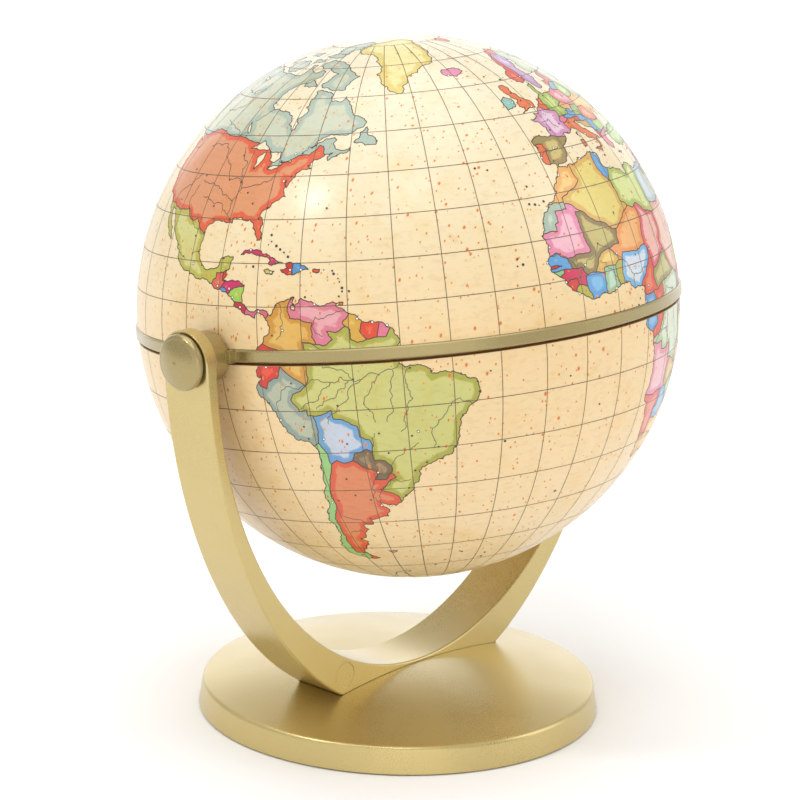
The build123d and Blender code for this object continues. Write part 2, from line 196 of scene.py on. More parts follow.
OLD_WORLD = """
-5.6,36 -6.4,36.9 -8.9,37 -9.4,38.7 -8.8,41 -9.2,43.1 -8,43.7 -3.5,43.4 -1.6,43.4 -1.2,45.5
-2.5,47.3 -4.7,48.2 -1.6,48.7 -1.7,49.7 0.3,49.5 1.6,50.8 4,51.8 4.8,53 7,53.5 8.7,53.9 8.2,55.6
8.2,57 10.5,57.7 10.3,56 9.8,55 11,54 14,54 18.5,54.7 21,55.3 21.1,57.4 24,57.2 23.6,59 28,59.6
30,60 25,60.2 22.5,60 21.3,61.5 22,63.5 25.3,65.2 22,65.7 21,64 17.3,61.5 18.7,60 16.5,57.8
16,56.2 14.2,55.5 12.9,55.6 12,57.5 11,59 8,58 5.5,58.8 5,61.5 10,64 14,67.5 19,70 25.5,71
31,70.3 33,69.4 41,67.5 40,66.2 34,66.7 38,64.2 44,66 44,68.4 54,68.5 60,69 68,68.5 67,72.5
72.5,72.8 73.5,68 75,72.5 81,73.5 90,75.3 104,77.6 113,73.8 127,73.2 130,71 140,72.5 152,71
161,69.5 170,69.8 180,68.9 186,67 189.5,66 187.5,64.5 180,62.6 170,60 163.5,59.8 162.5,56
156.8,51 155.8,56.8 161,60.6 156.5,61.5 151,59.3 143,59.3 135.5,54.7 141,53 140.5,48.5
135.5,44.2 131,42.7 127.6,39.8 129.4,37 129,35.2 126.5,34.5 126.6,37.5 124.8,39.8 121.5,39
121.2,40.8 117.8,39 119,37.3 122.5,37 119.3,35 121.8,32 121.9,30 119.5,26 116.5,23 113.5,22.2
110,21 108,21.6 105.8,19 109.2,13 107,10.4 105,8.7 104.8,10.5 102.5,12 100.6,13.4 100,9.5
103.4,4.5 104.2,1.4 101.3,3 100.3,6.4 98.4,8.2 98.6,12.5 97.6,16.4 94.4,16 94,19.5 91.8,22.4
89,21.8 86.9,20.5 82.3,16.6 80.2,15 80,12 79,9.5 77.6,8.1 76.2,10.5 74.5,14.5 72.8,19 72.6,21.3
70,20.9 69,22.3 67,24.8 61.8,25.1 57.2,25.6 56.4,27 54,26.6 51.5,27.9 50,30 48,30 48.2,28.6
50.2,26.5 51.6,24.3 54,24.1 56.3,26.2 56.7,24 59.8,22.5 57.7,19 55,17 52,15.6 45,12.8 43.4,12.7
42.7,16.5 39.1,21.5 35.2,28 34.9,29.5 34.2,27.8 32.6,29.9 33.6,27.8 35.5,24 37.2,21 37.4,18.8
39.6,15.5 43.2,12 44,10.5 51.2,11.9 51,10.4 48,4.5 44,1 41.5,-1.9 39.3,-4.6 39.4,-7 40.6,-10.6
40.6,-15 36.9,-17.9 34.8,-20 35.5,-24 32.8,-26 32.4,-28.5 30,-31.3 27,-33.6 20,-34.8 18.3,-34
18,-32 16.5,-28.6 14.5,-22.6 11.8,-18 13.5,-12.5 12.3,-6.1 9,-1 9.3,0.8 9.6,2.3 9.7,4 8.5,4.6
6,4.3 4.5,6.3 2,6.3 1.2,6 -2,4.8 -4,5.2 -7.5,4.4 -9.4,5.6 -11.4,6.9 -13.2,8.6 -13.8,9.8 -15,11
-16.7,12.4 -16.7,13.6 -17.4,14.7 -16.4,16.2 -16.1,18.5 -17,20.9 -16,23.8 -14.4,26.2 -12.9,27.9
-11,28.8 -9.7,30 -9.7,31.5 -8,33.4 -6,35.8 -5.3,35.9 -2.9,35.3 0,35.8 5,36.8 10,37.3 11,36.9
10.2,34.5 11.2,33.2 15.2,32.3 19,30.3 20,32.4 22,32.8 25,31.6 29,30.9 31.2,31.5 32.4,31.2
34.3,31.3 35.5,33.9 36,36.6 32.5,36.1 30.5,36.8 28.2,36.7 26.4,38.6 26.2,40 29,40.9 26,40.8
23.8,40.3 22.9,39.2 24,37.8 22.8,36.5 21.3,37.5 20,39.5 19.4,41.6 16,43.5 13.8,44.9 13.5,45.7
12.4,45.2 13.6,43.5 16,41.8 18.4,40.1 17,40.4 16.6,38 15.7,38 15.6,40 12.3,41.7 10.4,43.6
8.8,44.4 7,43.5 3.2,43.2 3.2,41.9 0.2,40.5 -0.3,38.7 -2,36.8 -4.5,36.6
"""

# An island's country comes first.
ISLANDS = """
canada -72,62.5 -78,64.8 -73,68 -80,70 -89,71 -85,73.5 -78,72.8 -70,70.8 -67.5,69 -61.5,66.8 -65,65
 -66,62.5
canada -117,69.8 -105,69 -102,70.5 -105,73 -114,73 -118.5,71.5
canada -125.5,72 -123,71.2 -119.5,74 -124.5,74.4
canada -79,76 -90,76.5 -92,80.5 -75,83 -62,82.5 -68,80 -78,78
canada -80,74.6 -80,75.6 -92,76.2 -96,75 -91,74.6
canada -116,75 -106,75 -106,76.6 -117,76.2
canada -100,72.2 -91,72.8 -92,74 -101,73.8
canada -87,64 -80.5,63.8 -84.5,66
canada -59.3,47.7 -56,46.8 -53,46.8 -53.2,48.5 -55.6,49.9 -55.6,51.5 -57.5,50.2
canada -123.5,48.4 -128,50.5 -125.5,50.3
greenland -73,78.3 -68,76 -58,75.3 -54.5,72 -51,69.5 -53.5,67 -51.5,64 -48,61 -44,60 -42.5,62.5
 -39.5,65.3 -32,68.2 -24,69.5 -22,72.5 -19.5,75.5 -19,79.5 -13,81.6 -30,83.5 -45,82.6 -60,82
 -65.5,80.5
iceland -24,65.5 -22.5,63.9 -18.7,63.4 -13.6,65 -16,66.4 -20.5,66 -22.5,66.4
cuba -84.9,21.9 -83.2,23 -80.5,23.1 -77.5,21.8 -74.2,20.2 -77.6,19.9 -77.2,20.6 -78.6,21.5 -82,22.5
haiti -74.6,18.6 -72.9,18.9 -73.4,19.9 -71,20 -69,19.3 -68.2,18.5 -70.6,17.9 -71.8,17.3 -73.8,17.9
puerto_rico -67.2,18.5 -65.7,18.5 -65.8,17.9 -67.2,17.9
jamaica -78.6,18.5 -77.6,18.8 -76,18.3 -76.5,17.5 -77.8,17.6
trinidad -61.8,10.8 -60.9,10.8 -61.1,10 -61.8,10.1
falklands -61,-51.3 -58,-51.4 -59.5,-52.3
britain -5.5,50.1 -3,50.7 1.3,51.1 1.7,52.6 0,53.5 -1.5,55 -2,57.5 -3.2,58.6 -5,58.5 -5.8,56.5
 -4.8,54.7 -3,54 -4.5,53.2 -4.8,52 -3,51.5
ireland -6.2,52.2 -10,51.6 -9.8,54.2 -7.5,55.3 -5.6,54.5
italy 12.5,38 15.5,38.2 15,36.8
italy 8.3,39 9.6,39.2 9.6,40.9 8.3,40.8
france 8.6,42.6 9.5,42.9 9.3,41.4
greece 23.6,35.5 26.2,35.2 25,34.9
turkey 32.4,34.8 34.5,35.6 33.8,34.8
norway 11,79.5 20,80.3 27,80 18,77 14.5,77.5
russia 52,71 57,70.7 68,76.8 60,76 55,73.5
russia 95,79 105,79 98,81
russia 142,46 143.5,49 143,54 142,52
madagascar 49.3,-12 50.4,-15.6 47.3,-25 44.3,-25 43.3,-22 44.4,-16.3
sri_lanka 80,9.6 81.8,7.2 80.4,6
japan 131,34 135.8,33.5 140.8,35.7 141.9,39.5 141.3,41.4 139.5,39 136.8,37.3 132.5,35.5
japan 140,42 143.2,42 145.5,43.3 141.8,45.4
japan 130,33.5 131.8,33.5 130.7,31
taiwan 120,23 121,25.2 121.8,24.8 120.9,22
china 108.7,19.3 110.5,20.1 110.4,18.6
philippines 120.3,16.5 121,18.5 122.2,18.3 121.6,14.2 124,12.6 120.6,13.9
philippines 122,7 125.5,5.8 126.4,8 125.5,9.7 123.5,8.6
borneo 109,1.5 111.5,3 115,5 117,7 119,5.2 117.8,1 116,-3.8 110.2,-3
indonesia 95.3,5.6 98.5,3.8 103.5,-0.8 106,-3 105.8,-5.8 102,-3.9 98.6,1.6
indonesia 105.2,-6.8 108.6,-6.7 112.8,-7 114.4,-8.3 108.5,-7.8
indonesia 119.5,-5.5 119,-2.8 120,0.8 125,1.5 121,0.4 121.3,-1 123.3,-1 121.5,-2.2 122.6,-5.3
 120.7,-2.9 120.4,-5.5
papua 131,-0.9 134,-0.8 135,-3.3 138,-1.7 141,-2.6 145.8,-5.4 147.8,-6.2 150.8,-10.3 147,-9.3 143,-9
 141,-9.1 138,-8.3 138,-5.5 133,-4
papua 149,-6 152,-4.2 151.5,-5.6
australia 114,-22 113.6,-26 115.7,-32 115.1,-34.3 118,-35 123.5,-33.9 129,-31.6 131.2,-31.5
 135.5,-34.8 137.8,-33 138.2,-35.6 140.5,-38 144,-38.4 146.4,-39 150,-37.4 153,-31.5 153.2,-26
 149.8,-22 146.2,-19 145.3,-15 142.6,-10.8 141.5,-13.5 140.8,-17.4 136,-15.5 136.8,-12.2 132.6,-11.4
 130,-13.3 129,-15 125.5,-14.3 122.3,-18 119,-20
tasmania 144.8,-40.8 148.3,-41 146.9,-43.6 145.5,-42.8
new_zealand 172.7,-34.5 175.8,-36.8 178.4,-37.8 175.2,-41.6 175,-40 173.8,-39.2 174.6,-37.5
new_zealand 172.7,-40.6 174.2,-41.8 171,-45 169.5,-46.6 166.5,-46 170.5,-42.8
"""

LAKES = """
-92,46.8 -88,48.8 -84.8,46.6 -87.5,46.5 -90,46.8
-87.8,42 -87.9,44.6 -85.4,46 -85.6,44.8 -86.4,43
-84.4,45.9 -80.4,45.9 -80.2,44.6 -81.6,43.4 -83.4,43.9 -83.3,45
-83.3,41.9 -81.2,42.7 -78.9,42.9 -81.6,41.6
-79.7,43.4 -76.6,44.1 -76.3,43.5 -79,43.3
-98.8,53.6 -96.4,51 -97,50.5 -99,52.5
-125,66.4 -119,65.8 -122,65 -123.5,65.4
-116,61.4 -109.5,62.8 -111.5,61.9 -114,60.9
-72,10.4 -71.1,10.1 -71.2,9.2 -72,9.4
28,42 29,41.2 32,41.8 36,41.7 41.5,41.4 38,44.4 39,47 35,46.2 33,44.5 31,46.6 28.7,44
50,37 53.5,37 53,42 51,45 53,46.8 48,45.5 49,42
58.3,44 61,44 60.5,46.5 58.8,46.4
31.8,0.3 34,0.2 33.5,-2.4 31.8,-2
29.2,-3.6 29.8,-3.5 31,-8.6 30.4,-8.5
103.8,51.5 106,51.8 109.7,55.5 108.8,55.6
"""

BORDERS = """
-141,70.3 -141,60.3 -137.5,59 -135,59.6 -132,57 -130,56 -130.7,54.2
-125,48.3 -123,48.9 -95.2,49 -93,48.6 -89.5,48 -87,47.8 -84.6,46.4 -83.8,45.9 -82.6,45.2 -82.4,43.2
-82.4,43.2 -82.9,42.2 -81.4,42.1 -79,42.9 -79.1,43.4 -77.5,43.6 -76.4,44.1 -74.8,45 -71.5,45
-71.5,45 -70.3,46 -69,47.4 -67.8,47 -67.5,45.5 -67,44.6
-117.6,32.5 -114.8,32.6 -111,31.3 -108.2,31.4 -106.4,31.8 -104.5,29.6 -103,29 -101.4,29.8 -99.5,27.5
 -96.8,25.9
-92.5,14.2 -92,16 -91.2,16.3 -91.1,17.7 -89.2,17.8 -88.6,18.3 -87.8,18.5
-89.2,17.8 -89.2,15.8 -88.6,15.8
-88.2,15.9 -89.2,15 -89.4,14.4 -90.3,13.5
-89.4,14.4 -88,13.9 -87.7,13
-87.5,12.7 -86.7,13.8 -85,14.5 -82.9,15.1
-86,11 -84.7,11 -83.4,10.9
-83,8 -82.9,9 -82.5,9.8
-78.1,7 -77.4,7.9 -77.3,9
-71.7,20.2 -71.8,19 -71.8,17.5
-71.2,12.5 -72.4,11.2 -72.9,9.2 -72.4,7.4 -70,7 -67.5,6.2 -67.8,3 -67,1.2
-67,1.2 -69.8,1.7 -69.5,-0.6 -70,-4.2
-70,-4.2 -70.9,-3.6 -72.9,-2.3 -75.2,-0.1
-75.2,-0.1 -77.5,0.6 -79.1,1.6
-75.2,-0.1 -76.2,-2.6 -78.4,-3.4 -79,-5 -80.4,-4.4 -80.6,-3.1
-67,1.2 -65.5,0.8 -63.5,2.2 -64.6,4.2 -62.8,3.8 -60.7,5.2
-60.7,5.2 -61.3,6 -60.4,7 -59.7,8.6
-60.7,5.2 -59.8,4.4 -59.7,2 -58.5,1.3 -56.5,1.9
-56.5,1.9 -57.9,3.9 -57.2,6.3
-56.5,1.9 -54.5,2.3
-54.5,2.3 -54.2,3.8 -53.9,6.1
-54.5,2.3 -52.7,2.3 -51.4,4.5
-70,-4.2 -73,-6 -73.8,-7.4 -72.2,-10 -70.6,-9.6 -70.6,-11 -69.5,-11
-69.5,-11 -65.4,-9.8 -65.2,-11.8 -60.4,-13.7 -60.2,-16.2 -58.3,-17 -57.8,-18.5 -58,-20.1
-69.5,-11 -69,-14.5 -69.3,-16.2 -69.5,-17.5
-69.5,-17.5 -70.8,-18.4
-69.5,-17.5 -68.4,-19.5 -67.8,-22.8
-67.8,-22.8 -68.4,-25 -69.5,-28 -70.2,-31 -70,-33.5 -71.2,-37 -71.8,-41 -71.8,-45 -72.4,-49
 -72.2,-52 -68.6,-52.4
-68.6,-52.4 -68.6,-55.6
-67.8,-22.8 -66.3,-21.8 -64.5,-22.6 -62.7,-22
-62.7,-22 -62.2,-20.5 -59.2,-19.3 -58,-20.1
-58,-20.1 -57.9,-22.1 -55.6,-22.4 -54.3,-24.1 -54.6,-25.6
-54.6,-25.6 -56,-27.3 -58.6,-27.2 -57.7,-25.2 -62.7,-22
-54.6,-25.6 -53.7,-26.8 -55.8,-28.2 -57.6,-30.2
-57.6,-30.2 -58.2,-32.5 -58.6,-34.4
-57.6,-30.2 -55.8,-30.9 -53.6,-32.6 -53.1,-34
-13.6,27.7 -8.7,27.7
-17.4,21.3 -13,21.3 -13,23 -12,23.4 -12,26 -8.7,26 -8.7,27.3 -8.7,28.7 -5,30.2 -1.5,32.1 -2,35.6
-8.7,27.3 -4.8,25 1.2,21.1 3.3,19.2 4.2,19.1 12,23.5
-4.8,25 -6.5,25 -5.5,15.5 -9.5,15.4 -12.2,14.8
-12.2,14.8 -14.5,16.6 -16.9,16.1
12,23.5 9.9,25 9.6,30 7.5,33.6 8.6,37.4
9.6,30 11.5,32.4 11.6,33.6
25,32 25,22 25,20 24,20 24,19.5 16,23.4 15,23
12,23.5 14.2,22.6 15,23 15.5,20 13.5,14.5 13.5,13.6
25,22 37.4,22
24,19.5 24,15.7 22,13 22.9,11
-12.2,14.8 -11.4,12.4 -13.7,12.5 -16.9,12.4
-16.9,13.4 -15,13.7 -13.9,13.4 -15,13.2 -16.9,13.1
-13.7,12.5 -13.7,11.7 -15.2,10.7
-11.4,12.4 -9,12.3 -8,10.3
-13.6,9 -12.5,9.9 -11,10 -10.4,8.4
-10.4,8.4 -11.7,6.7
-10.4,8.4 -8.4,7.6 -7.4,4.2
-8.4,7.6 -8,10.3 -5.5,10.4
-5.5,10.4 -4,13.2 -1,15 0.2,15
-5.5,10.4 -2.8,9.7 -2.8,11 0,11.1
-2.8,9.7 -3.1,4.8
0,11.1 0.6,8 1.2,5.8
0,11.1 0.9,11 2.4,12 0.2,15 3.8,15.7 4.2,19.1
0.9,11 1.6,6
2.4,12 3.6,11.7 2.7,9 2.7,6.1
3.6,11.7 4,13.5 9,12.8 13.5,13.6
13.5,13.6 14.2,12.6 13.2,9.6 11,6.8 8.6,4.4
14.2,12.6 15,10 15.4,7.5
15.4,7.5 14.5,5 16.1,2.2
9.6,2.3 13.3,2.2 16.1,2.2 18.6,3.5
13.3,2.2 14.4,-1.5 11,-4
18.6,3.5 17.5,-1 15.3,-4.3 12.9,-4.7 12.1,-5.2
18.6,3.5 22.5,4.1 27.4,5.1
15.4,7.5 19,9 22.9,11 24,8.7 27.4,5.1 30.9,3.5 34,4.2
12.2,-6 16.6,-6 17,-8 21.8,-7.3 22,-11 24,-11
24,-11 22,-13 22,-16.2 23.3,-17.6
11.5,-17.3 21,-17.9 23.3,-17.6 25.3,-17.8
21,-17.9 21,-22 20,-22 20,-24.8 20,-28.4 16.2,-28.8
20,-24.8 23,-25.3 26,-24.7 29.4,-22.2 31.3,-22.4 32,-26.9 33,-26.8
25.3,-17.8 27.5,-20.5 29.4,-22.2
25.3,-17.8 28,-16.2 30.4,-15.6 33,-16.8 32.5,-21 31.3,-22.4
30.4,-15.6 33.2,-14 32.9,-9.4 31,-8.4 28.7,-8.5 28.4,-12 29.8,-13.4 27,-12 24,-11
33.2,-14 35.3,-16.5 35.8,-12 34.6,-11.5 40.6,-10.5
34.6,-11.5 34,-9.5 32.9,-9.4
30.6,-8.5 29.3,-4.4 29.6,-1.4 31.3,2.2 30.9,3.5
29.3,-4.4 30.8,-2.4 30.5,-1.1 33.9,-1 37.6,-3 39.2,-4.8
29.6,-1.4 30.5,-1.1
33.9,-1 34,4.2
34,4.2 35.9,4.6 38.1,3.6 41.9,3.9 41,1 41.5,-2
41.9,3.9 45,5 48,8 44,9 43,11 42.4,12.4
34,4.2 33,7.8 34.1,8.6 34.1,10.6 36.2,12.7 36.5,14.3 37,17 38.7,18
36.5,14.3 40,14.5 42.4,12.4
32.4,31.2 34.3,31.3 34.9,29.4
-8.9,41.9 -6.6,41.9 -7,39 -7.3,37
-1.9,43.5 0.7,42.8 3.4,42.4
2.4,51.2 4.2,50 6.2,49.5 8.2,49 7.6,47.6
6.2,49.5 6,51.8 7.2,53.7
2.4,51.2 4.2,51.4 6,51.8
7.6,47.6 6.1,46.3 7,45.9 7.5,43.6
7.6,47.6 9.6,47.5 13,47.5 13.8,48.8 12.2,50.2 15,51 14.2,54.1
7,45.9 9,46 10.4,46.6 13.7,46.5 13.6,45.6
9.6,47.5 9.5,46.9 10.4,46.6
13,47.5 16.5,46.8 17.1,48 15,49 13.8,48.8
15,51 18.8,49.6 17.1,48
18.8,49.6 22.6,49.1 24,50.8 23.5,53.9 19.6,54.6
17.1,48 22.2,48.3 22.6,49.1
22.2,48.3 20.3,46.2 16.5,46.8
13.7,46.5 16.5,46.4 16,45.2 13.6,45.4
16.5,46.4 19,45.9 20.3,46.2 22.5,44.5 28.8,44.2
16,45.2 19,45 19.4,42 20,41.8
20,41.8 21,42 21,40.8 20,39.4
21,40.8 23,41.3 26.4,41.7 26.2,40.7
22.5,44.5 22.4,42.3 23,41.3
26.4,41.7 28.2,42
22.2,48.3 26.6,48.2 28.2,45.5 29.9,45.4
28.5,56 28,59.8
23.5,53.9 26.5,55.3 28.2,56.1 31,54.5 32.5,53 31.6,52.1 23.6,51.6
21,55.3 24,56.3 28.2,56.1
32.5,53 35.5,50.5 40,49.6 38.2,47.1
28,61 31.5,63 29,66.5 29,69.5 31,70.5
24.2,65.7 23.6,67.9 20.5,69.1 16,68 12,63.5 12,61 11.2,58.9
23.6,67.9 29,69.5
36,36.6 39,36.8 42.4,37.2 44.5,37.2 44.8,39.7 42.6,41.5 41.5,41.6
44.8,39.7 48,38.5 49,38.5
40,43.5 46.5,41.8 48.6,41.8
42.4,37.2 41,34.4 38.8,33.4 35.9,32.8 35.6,33.2
38.8,33.4 39.2,32 42,31.1 46.5,29.1 48.4,28.5
44.5,37.2 45.5,34 47.7,31 48.4,29.9
39.2,32 37,31.5 34.9,29.4
42.7,16.5 43.5,17.4 49,18.6 52,19 53.1,16.4
52,19 55,20 55,22.7 52,22.8 51.6,24.3
55,22.7 56.3,24.6
53.9,37.2 57,38.2 61.2,36.6 61,31.4 63,27.2 61.6,25
61.2,36.6 64.5,37 66.5,37.4 71,38.4 71.6,36.5 74.8,37.3
71.6,36.5 70,33.2 66.5,29.9 61,29.8
74.8,37.3 77.8,35.4 74.3,33 74.5,31 70.5,27.9 71,24.6 68,23.5
74.8,37.3 73.8,39.6 80.2,42.2 80.3,45 85.5,47.2 87.4,49.1
77.8,35.4 78.9,31.4 81,30.2 86,28 92,27.9 97.3,28.2 98.7,25.5 97.5,24
81,30.2 80.2,28.8 84.5,27.3 88.1,26.4 88.1,27.9
88.1,26.4 89.5,26 92,25 91.2,23.6 92.4,21.3
92,25 94.6,25 97.3,28.2
97.5,24 99.5,22.7 102,22.4 106.6,22 108,21.4
99.5,22.7 97.4,18.4 98.8,16 98.9,11.6 98.4,10.2
100.1,20.3 101,17.5 104.8,17.8 105.6,14.3 102.4,13.6 102.6,12
102,22.4 104.8,18.8 107.5,15 107.4,12.3 104.4,10.5
100.4,6.4 102.2,6.1
46.5,48.5 47,51 55,51 61.5,51 61.5,54 70,55.2 76,54.2 80,51 87.4,49.1
54,42 56,45 61,44.5 66,42 68,41 70.8,42.2 75,42.8 80.2,42.2
53,41.8 57.5,42 61,41.2 66.5,37.4
87.4,49.1 92,50.8 98,50.5 98.9,52.1 102.2,50.6 107,49.8 114,50.2 116.7,49.8
87.4,49.1 91,46.5 95.5,44 104.8,41.7 112,43.8 119.8,46.7 116.7,49.8
116.7,49.8 120,53.2 125,53 127.6,50 131,47.8 135,48.4 131,45 130.6,42.4
130.6,42.4 126.8,41.7 124.2,39.9
126.6,37.8 128.5,38.6
109.6,2 111.2,1.2 115,3.4 117.6,4.2
141,-2.4 141,-9.3
129,-14.8 129,-31.7
129,-26 141,-26 141,-38.2
138,-16.5 138,-26
141,-29 153.5,-28.3
141,-34 144,-36 149,-36.8 150.2,-37.6
"""

ANTARCTICA = """
-170,-77.8 -158,-78 -150,-77 -135,-75 -115,-74 -100,-73 -85,-73 -75,-73 -68,-70 -67,-67.5 -58,-63.5
-57,-64 -61,-66 -61,-70 -61,-74.5 -50,-77.5 -35,-78 -25,-75 -10,-71 5,-69.5 20,-69.8 35,-69
50,-66.5 60,-67.3 70,-69 75,-69.7 85,-66.8 100,-66 115,-66.5 130,-66 145,-67.3 160,-70 170,-72
165,-77 180,-78 190,-77.8
"""

RIVERS = """
-50.5,-0.2 -52,-1.4 -54.7,-2.4 -58.2,-3.2 -60.5,-3.3 -64.7,-3.6 -68,-3 -70,-4.2 -73.5,-4.4 -76,-6.5
 -77,-10
-60,-3.2 -62,-1 -64.5,-0.4 -67,0.6 -70,1.8
-58.5,-3.4 -61.5,-6.5 -63.5,-8.8 -65.4,-10.5 -66.5,-13
-54.7,-2.5 -57,-6 -58,-9.5 -56.5,-13
-52,-1.6 -52.5,-5 -52.8,-9 -54,-13
-48.6,-1.5 -49.3,-5 -48.5,-8 -50.5,-12 -51.5,-15.5
-64.7,-3.6 -67,-6 -70,-8 -72,-9.5
-61,-3.4 -63.5,-5.5 -66,-7.5 -68.5,-9.5
-36.4,-10.5 -39,-9 -41.5,-11 -43.5,-13.5 -44.9,-17.5 -45,-20
-58.4,-33.8 -60,-32 -59.5,-29 -58.6,-27.2 -54.6,-25.6 -53.5,-22.5 -51,-20 -48,-18.5
-58.6,-27.2 -58,-22 -57.6,-18 -57,-15.5
-58.5,-33.5 -57.7,-30.5 -55,-27.5 -50.5,-27.6
-60.8,8.8 -63.5,8 -66.8,7.6 -67.6,5.5 -65.5,3
-74.8,10.9 -74.5,8.5 -74.6,5.5 -75.6,2.4
-62,-40.7 -65.5,-39 -69.5,-37.8
-65.8,-43.2 -69.5,-43.5
-89.2,29.2 -91.2,31.5 -90.2,35 -89.3,37.2 -91,40.5 -93,44.8 -94.5,47
-89.3,37.2 -86,38 -82,38.7 -80.2,40.5
-90.2,38.8 -94.5,39.2 -96.5,42.5 -100.5,44.5 -103.5,47.8 -109,47.5 -111.5,46.8
-91.2,31.2 -94.5,33.6 -99,34.2 -102,34.8
-91,34 -95,35.5 -98,37.6 -102.5,38 -105,38.6
-97.2,26 -99.5,27.5 -103,29 -106.4,31.8 -106.8,35 -106,37.5
-114.8,31.8 -114.5,35 -112,36.5 -109.5,38.5 -107,40
-124,46.2 -121,45.8 -119,46.2 -118,48.5 -116.5,51
-70,47.5 -73.5,45.6 -75.5,44.6
-135,69 -133,67.5 -128.5,65 -124.5,62 -117,61.2
-111.5,60.9 -112,57.5 -118,56 -122.5,56
-164.5,62.8 -159,62 -156,64.8 -150,65.4 -144,66.2 -139,63.5
-92.6,57 -95.5,55 -97.4,53.8
-97,50.6 -101,49.8 -106,52 -113,53.5
-97.8,22.2 -100,21.4
-105.3,21.6 -102.5,20.2
6,4.4 6.6,7.5 4.2,11.2 1,14.2 -2.8,16.8 -5.5,13.8 -8.2,12.4 -10,9.8
6.6,7.6 10,8.2 13.5,9
-16.5,16 -13.5,15.9 -11.6,14.4 -10.4,12.2
1,5.9 0.2,8.5 -1.5,10.5 -3.5,12.8
12.4,-6 15.3,-4.3 17.5,-0.5 21,2 25,1 25.5,-3 27,-8 25.8,-11
15.8,-3.4 19.5,-3.4 21.5,-7
31.4,31.3 31,27.5 32.8,24 31.8,19.5 33.5,16.5 32.5,15 32.6,10.5 31.3,6 31.8,2 32.4,0.3
32.5,15.6 35,12 37.4,11.8
36.3,-18.8 33,-16.6 29,-16 25.8,-17.8 23,-16 22.8,-12.4
16.6,-28.6 20,-28.6 24,-29.4 27.5,-30.4
-1.4,46.9 2,47.6 3.5,45
-9,38.8 -5,39.8 -2,40.6
4,51.9 7,51 8.3,49 7.7,47.6
29.6,45.2 25.5,43.8 20.5,44.8 18.9,47.6 14,48.4 9,48.2
48,45.8 46,48.6 46.5,51.5 49.5,53.4 48.5,55.8 43.5,56.3 37,58
32,46.6 35,47.8 33,49.4 30.6,51.5 30.3,54.5
40,47 41.5,48.8 39.3,51.5 38.7,53.5
73.5,67.5 67,66.4 65.5,62.5 69,60.8 76,60.2 83,56.2 85,53
82,72 86.5,68.5 88,63.5 91,59 92.8,56 94,52
127,72.8 124,68 126.5,63.5 119,60 108,57.5 105.5,54
141,53 136,49.6 131,47.9 125,52.8 121,53.2
121.6,31.6 117,31 112,30 106.5,29.4 102.5,27 99,30 96,34
118.8,37.6 114,35 110.4,35.5 110.5,40.2 106.5,39 103.5,36
106.6,10.2 105,12.5 105.4,16 101,19.5 100,23 98.5,28
90.5,22.6 88,24.8 83,25.8 79.5,28.5
90.5,23.4 90,26 95,28.5 88,29.4 82.5,30.2
67.6,24.2 70.5,29 73,33.5 77,34.6 81,32.4
48.3,30 45.5,32 43,35.4 40.4,38
47.5,31 44,32.6 40.5,35 38.3,38.4
138.6,-35.4 142.5,-34 147,-36
142,-34 144.5,-31 148.5,-27
"""

CAPITALS = """
-99.1,19.4 -77,38.9 -75.7,45.4 -82.4,23.1 -69.9,18.5 -72.3,18.5 -66.9,10.5 -74.1,4.6 -78.5,-0.2
-77,-12 -68.1,-16.5 -47.9,-15.8 -57.6,-25.3 -56.2,-34.9 -58.4,-34.6 -70.7,-33.5 -58.2,6.8 -55.2,5.8
-52.3,4.9 -90.5,14.6 -87.2,14.1 -86.2,12.1 -84.1,9.9 -79.5,9 -76.8,18 -9.1,38.7 -3.7,40.4 2.3,48.9
-0.1,51.5 -6.3,53.3 12.5,41.9 13.4,52.5 16.4,48.2 21,52.2 37.6,55.8 30.5,50.5 18,59.3 10.7,59.9
25,60.2 -21.9,64.1 -6.8,34 3,36.7 10.2,36.8 13.2,32.9 31.2,30 32.5,15.6 38.7,9 36.8,-1.3 -16,18.1
-8,12.6 -17.4,14.7 -13.7,9.5 -10.8,6.3 -0.2,5.6 7.5,9.1 2.1,13.5 15,12.1 11.5,3.9 18.6,4.4 9.5,0.4
15.3,-4.3 13.2,-8.8 17.1,-22.6 28.2,-25.7 28.3,-15.4 31,-17.8 47.5,-18.9 44.4,33.3 51.4,35.7
46.7,24.6 69.2,34.5 73,33.7 77.2,28.6 90.4,23.7 116.4,39.9 106.9,47.9 139.7,35.7 127,37.6 100.5,13.8
105.9,21 121,14.6 106.8,-6.2 149.1,-35.3 174.8,-41.3 147.2,-9.4
"""

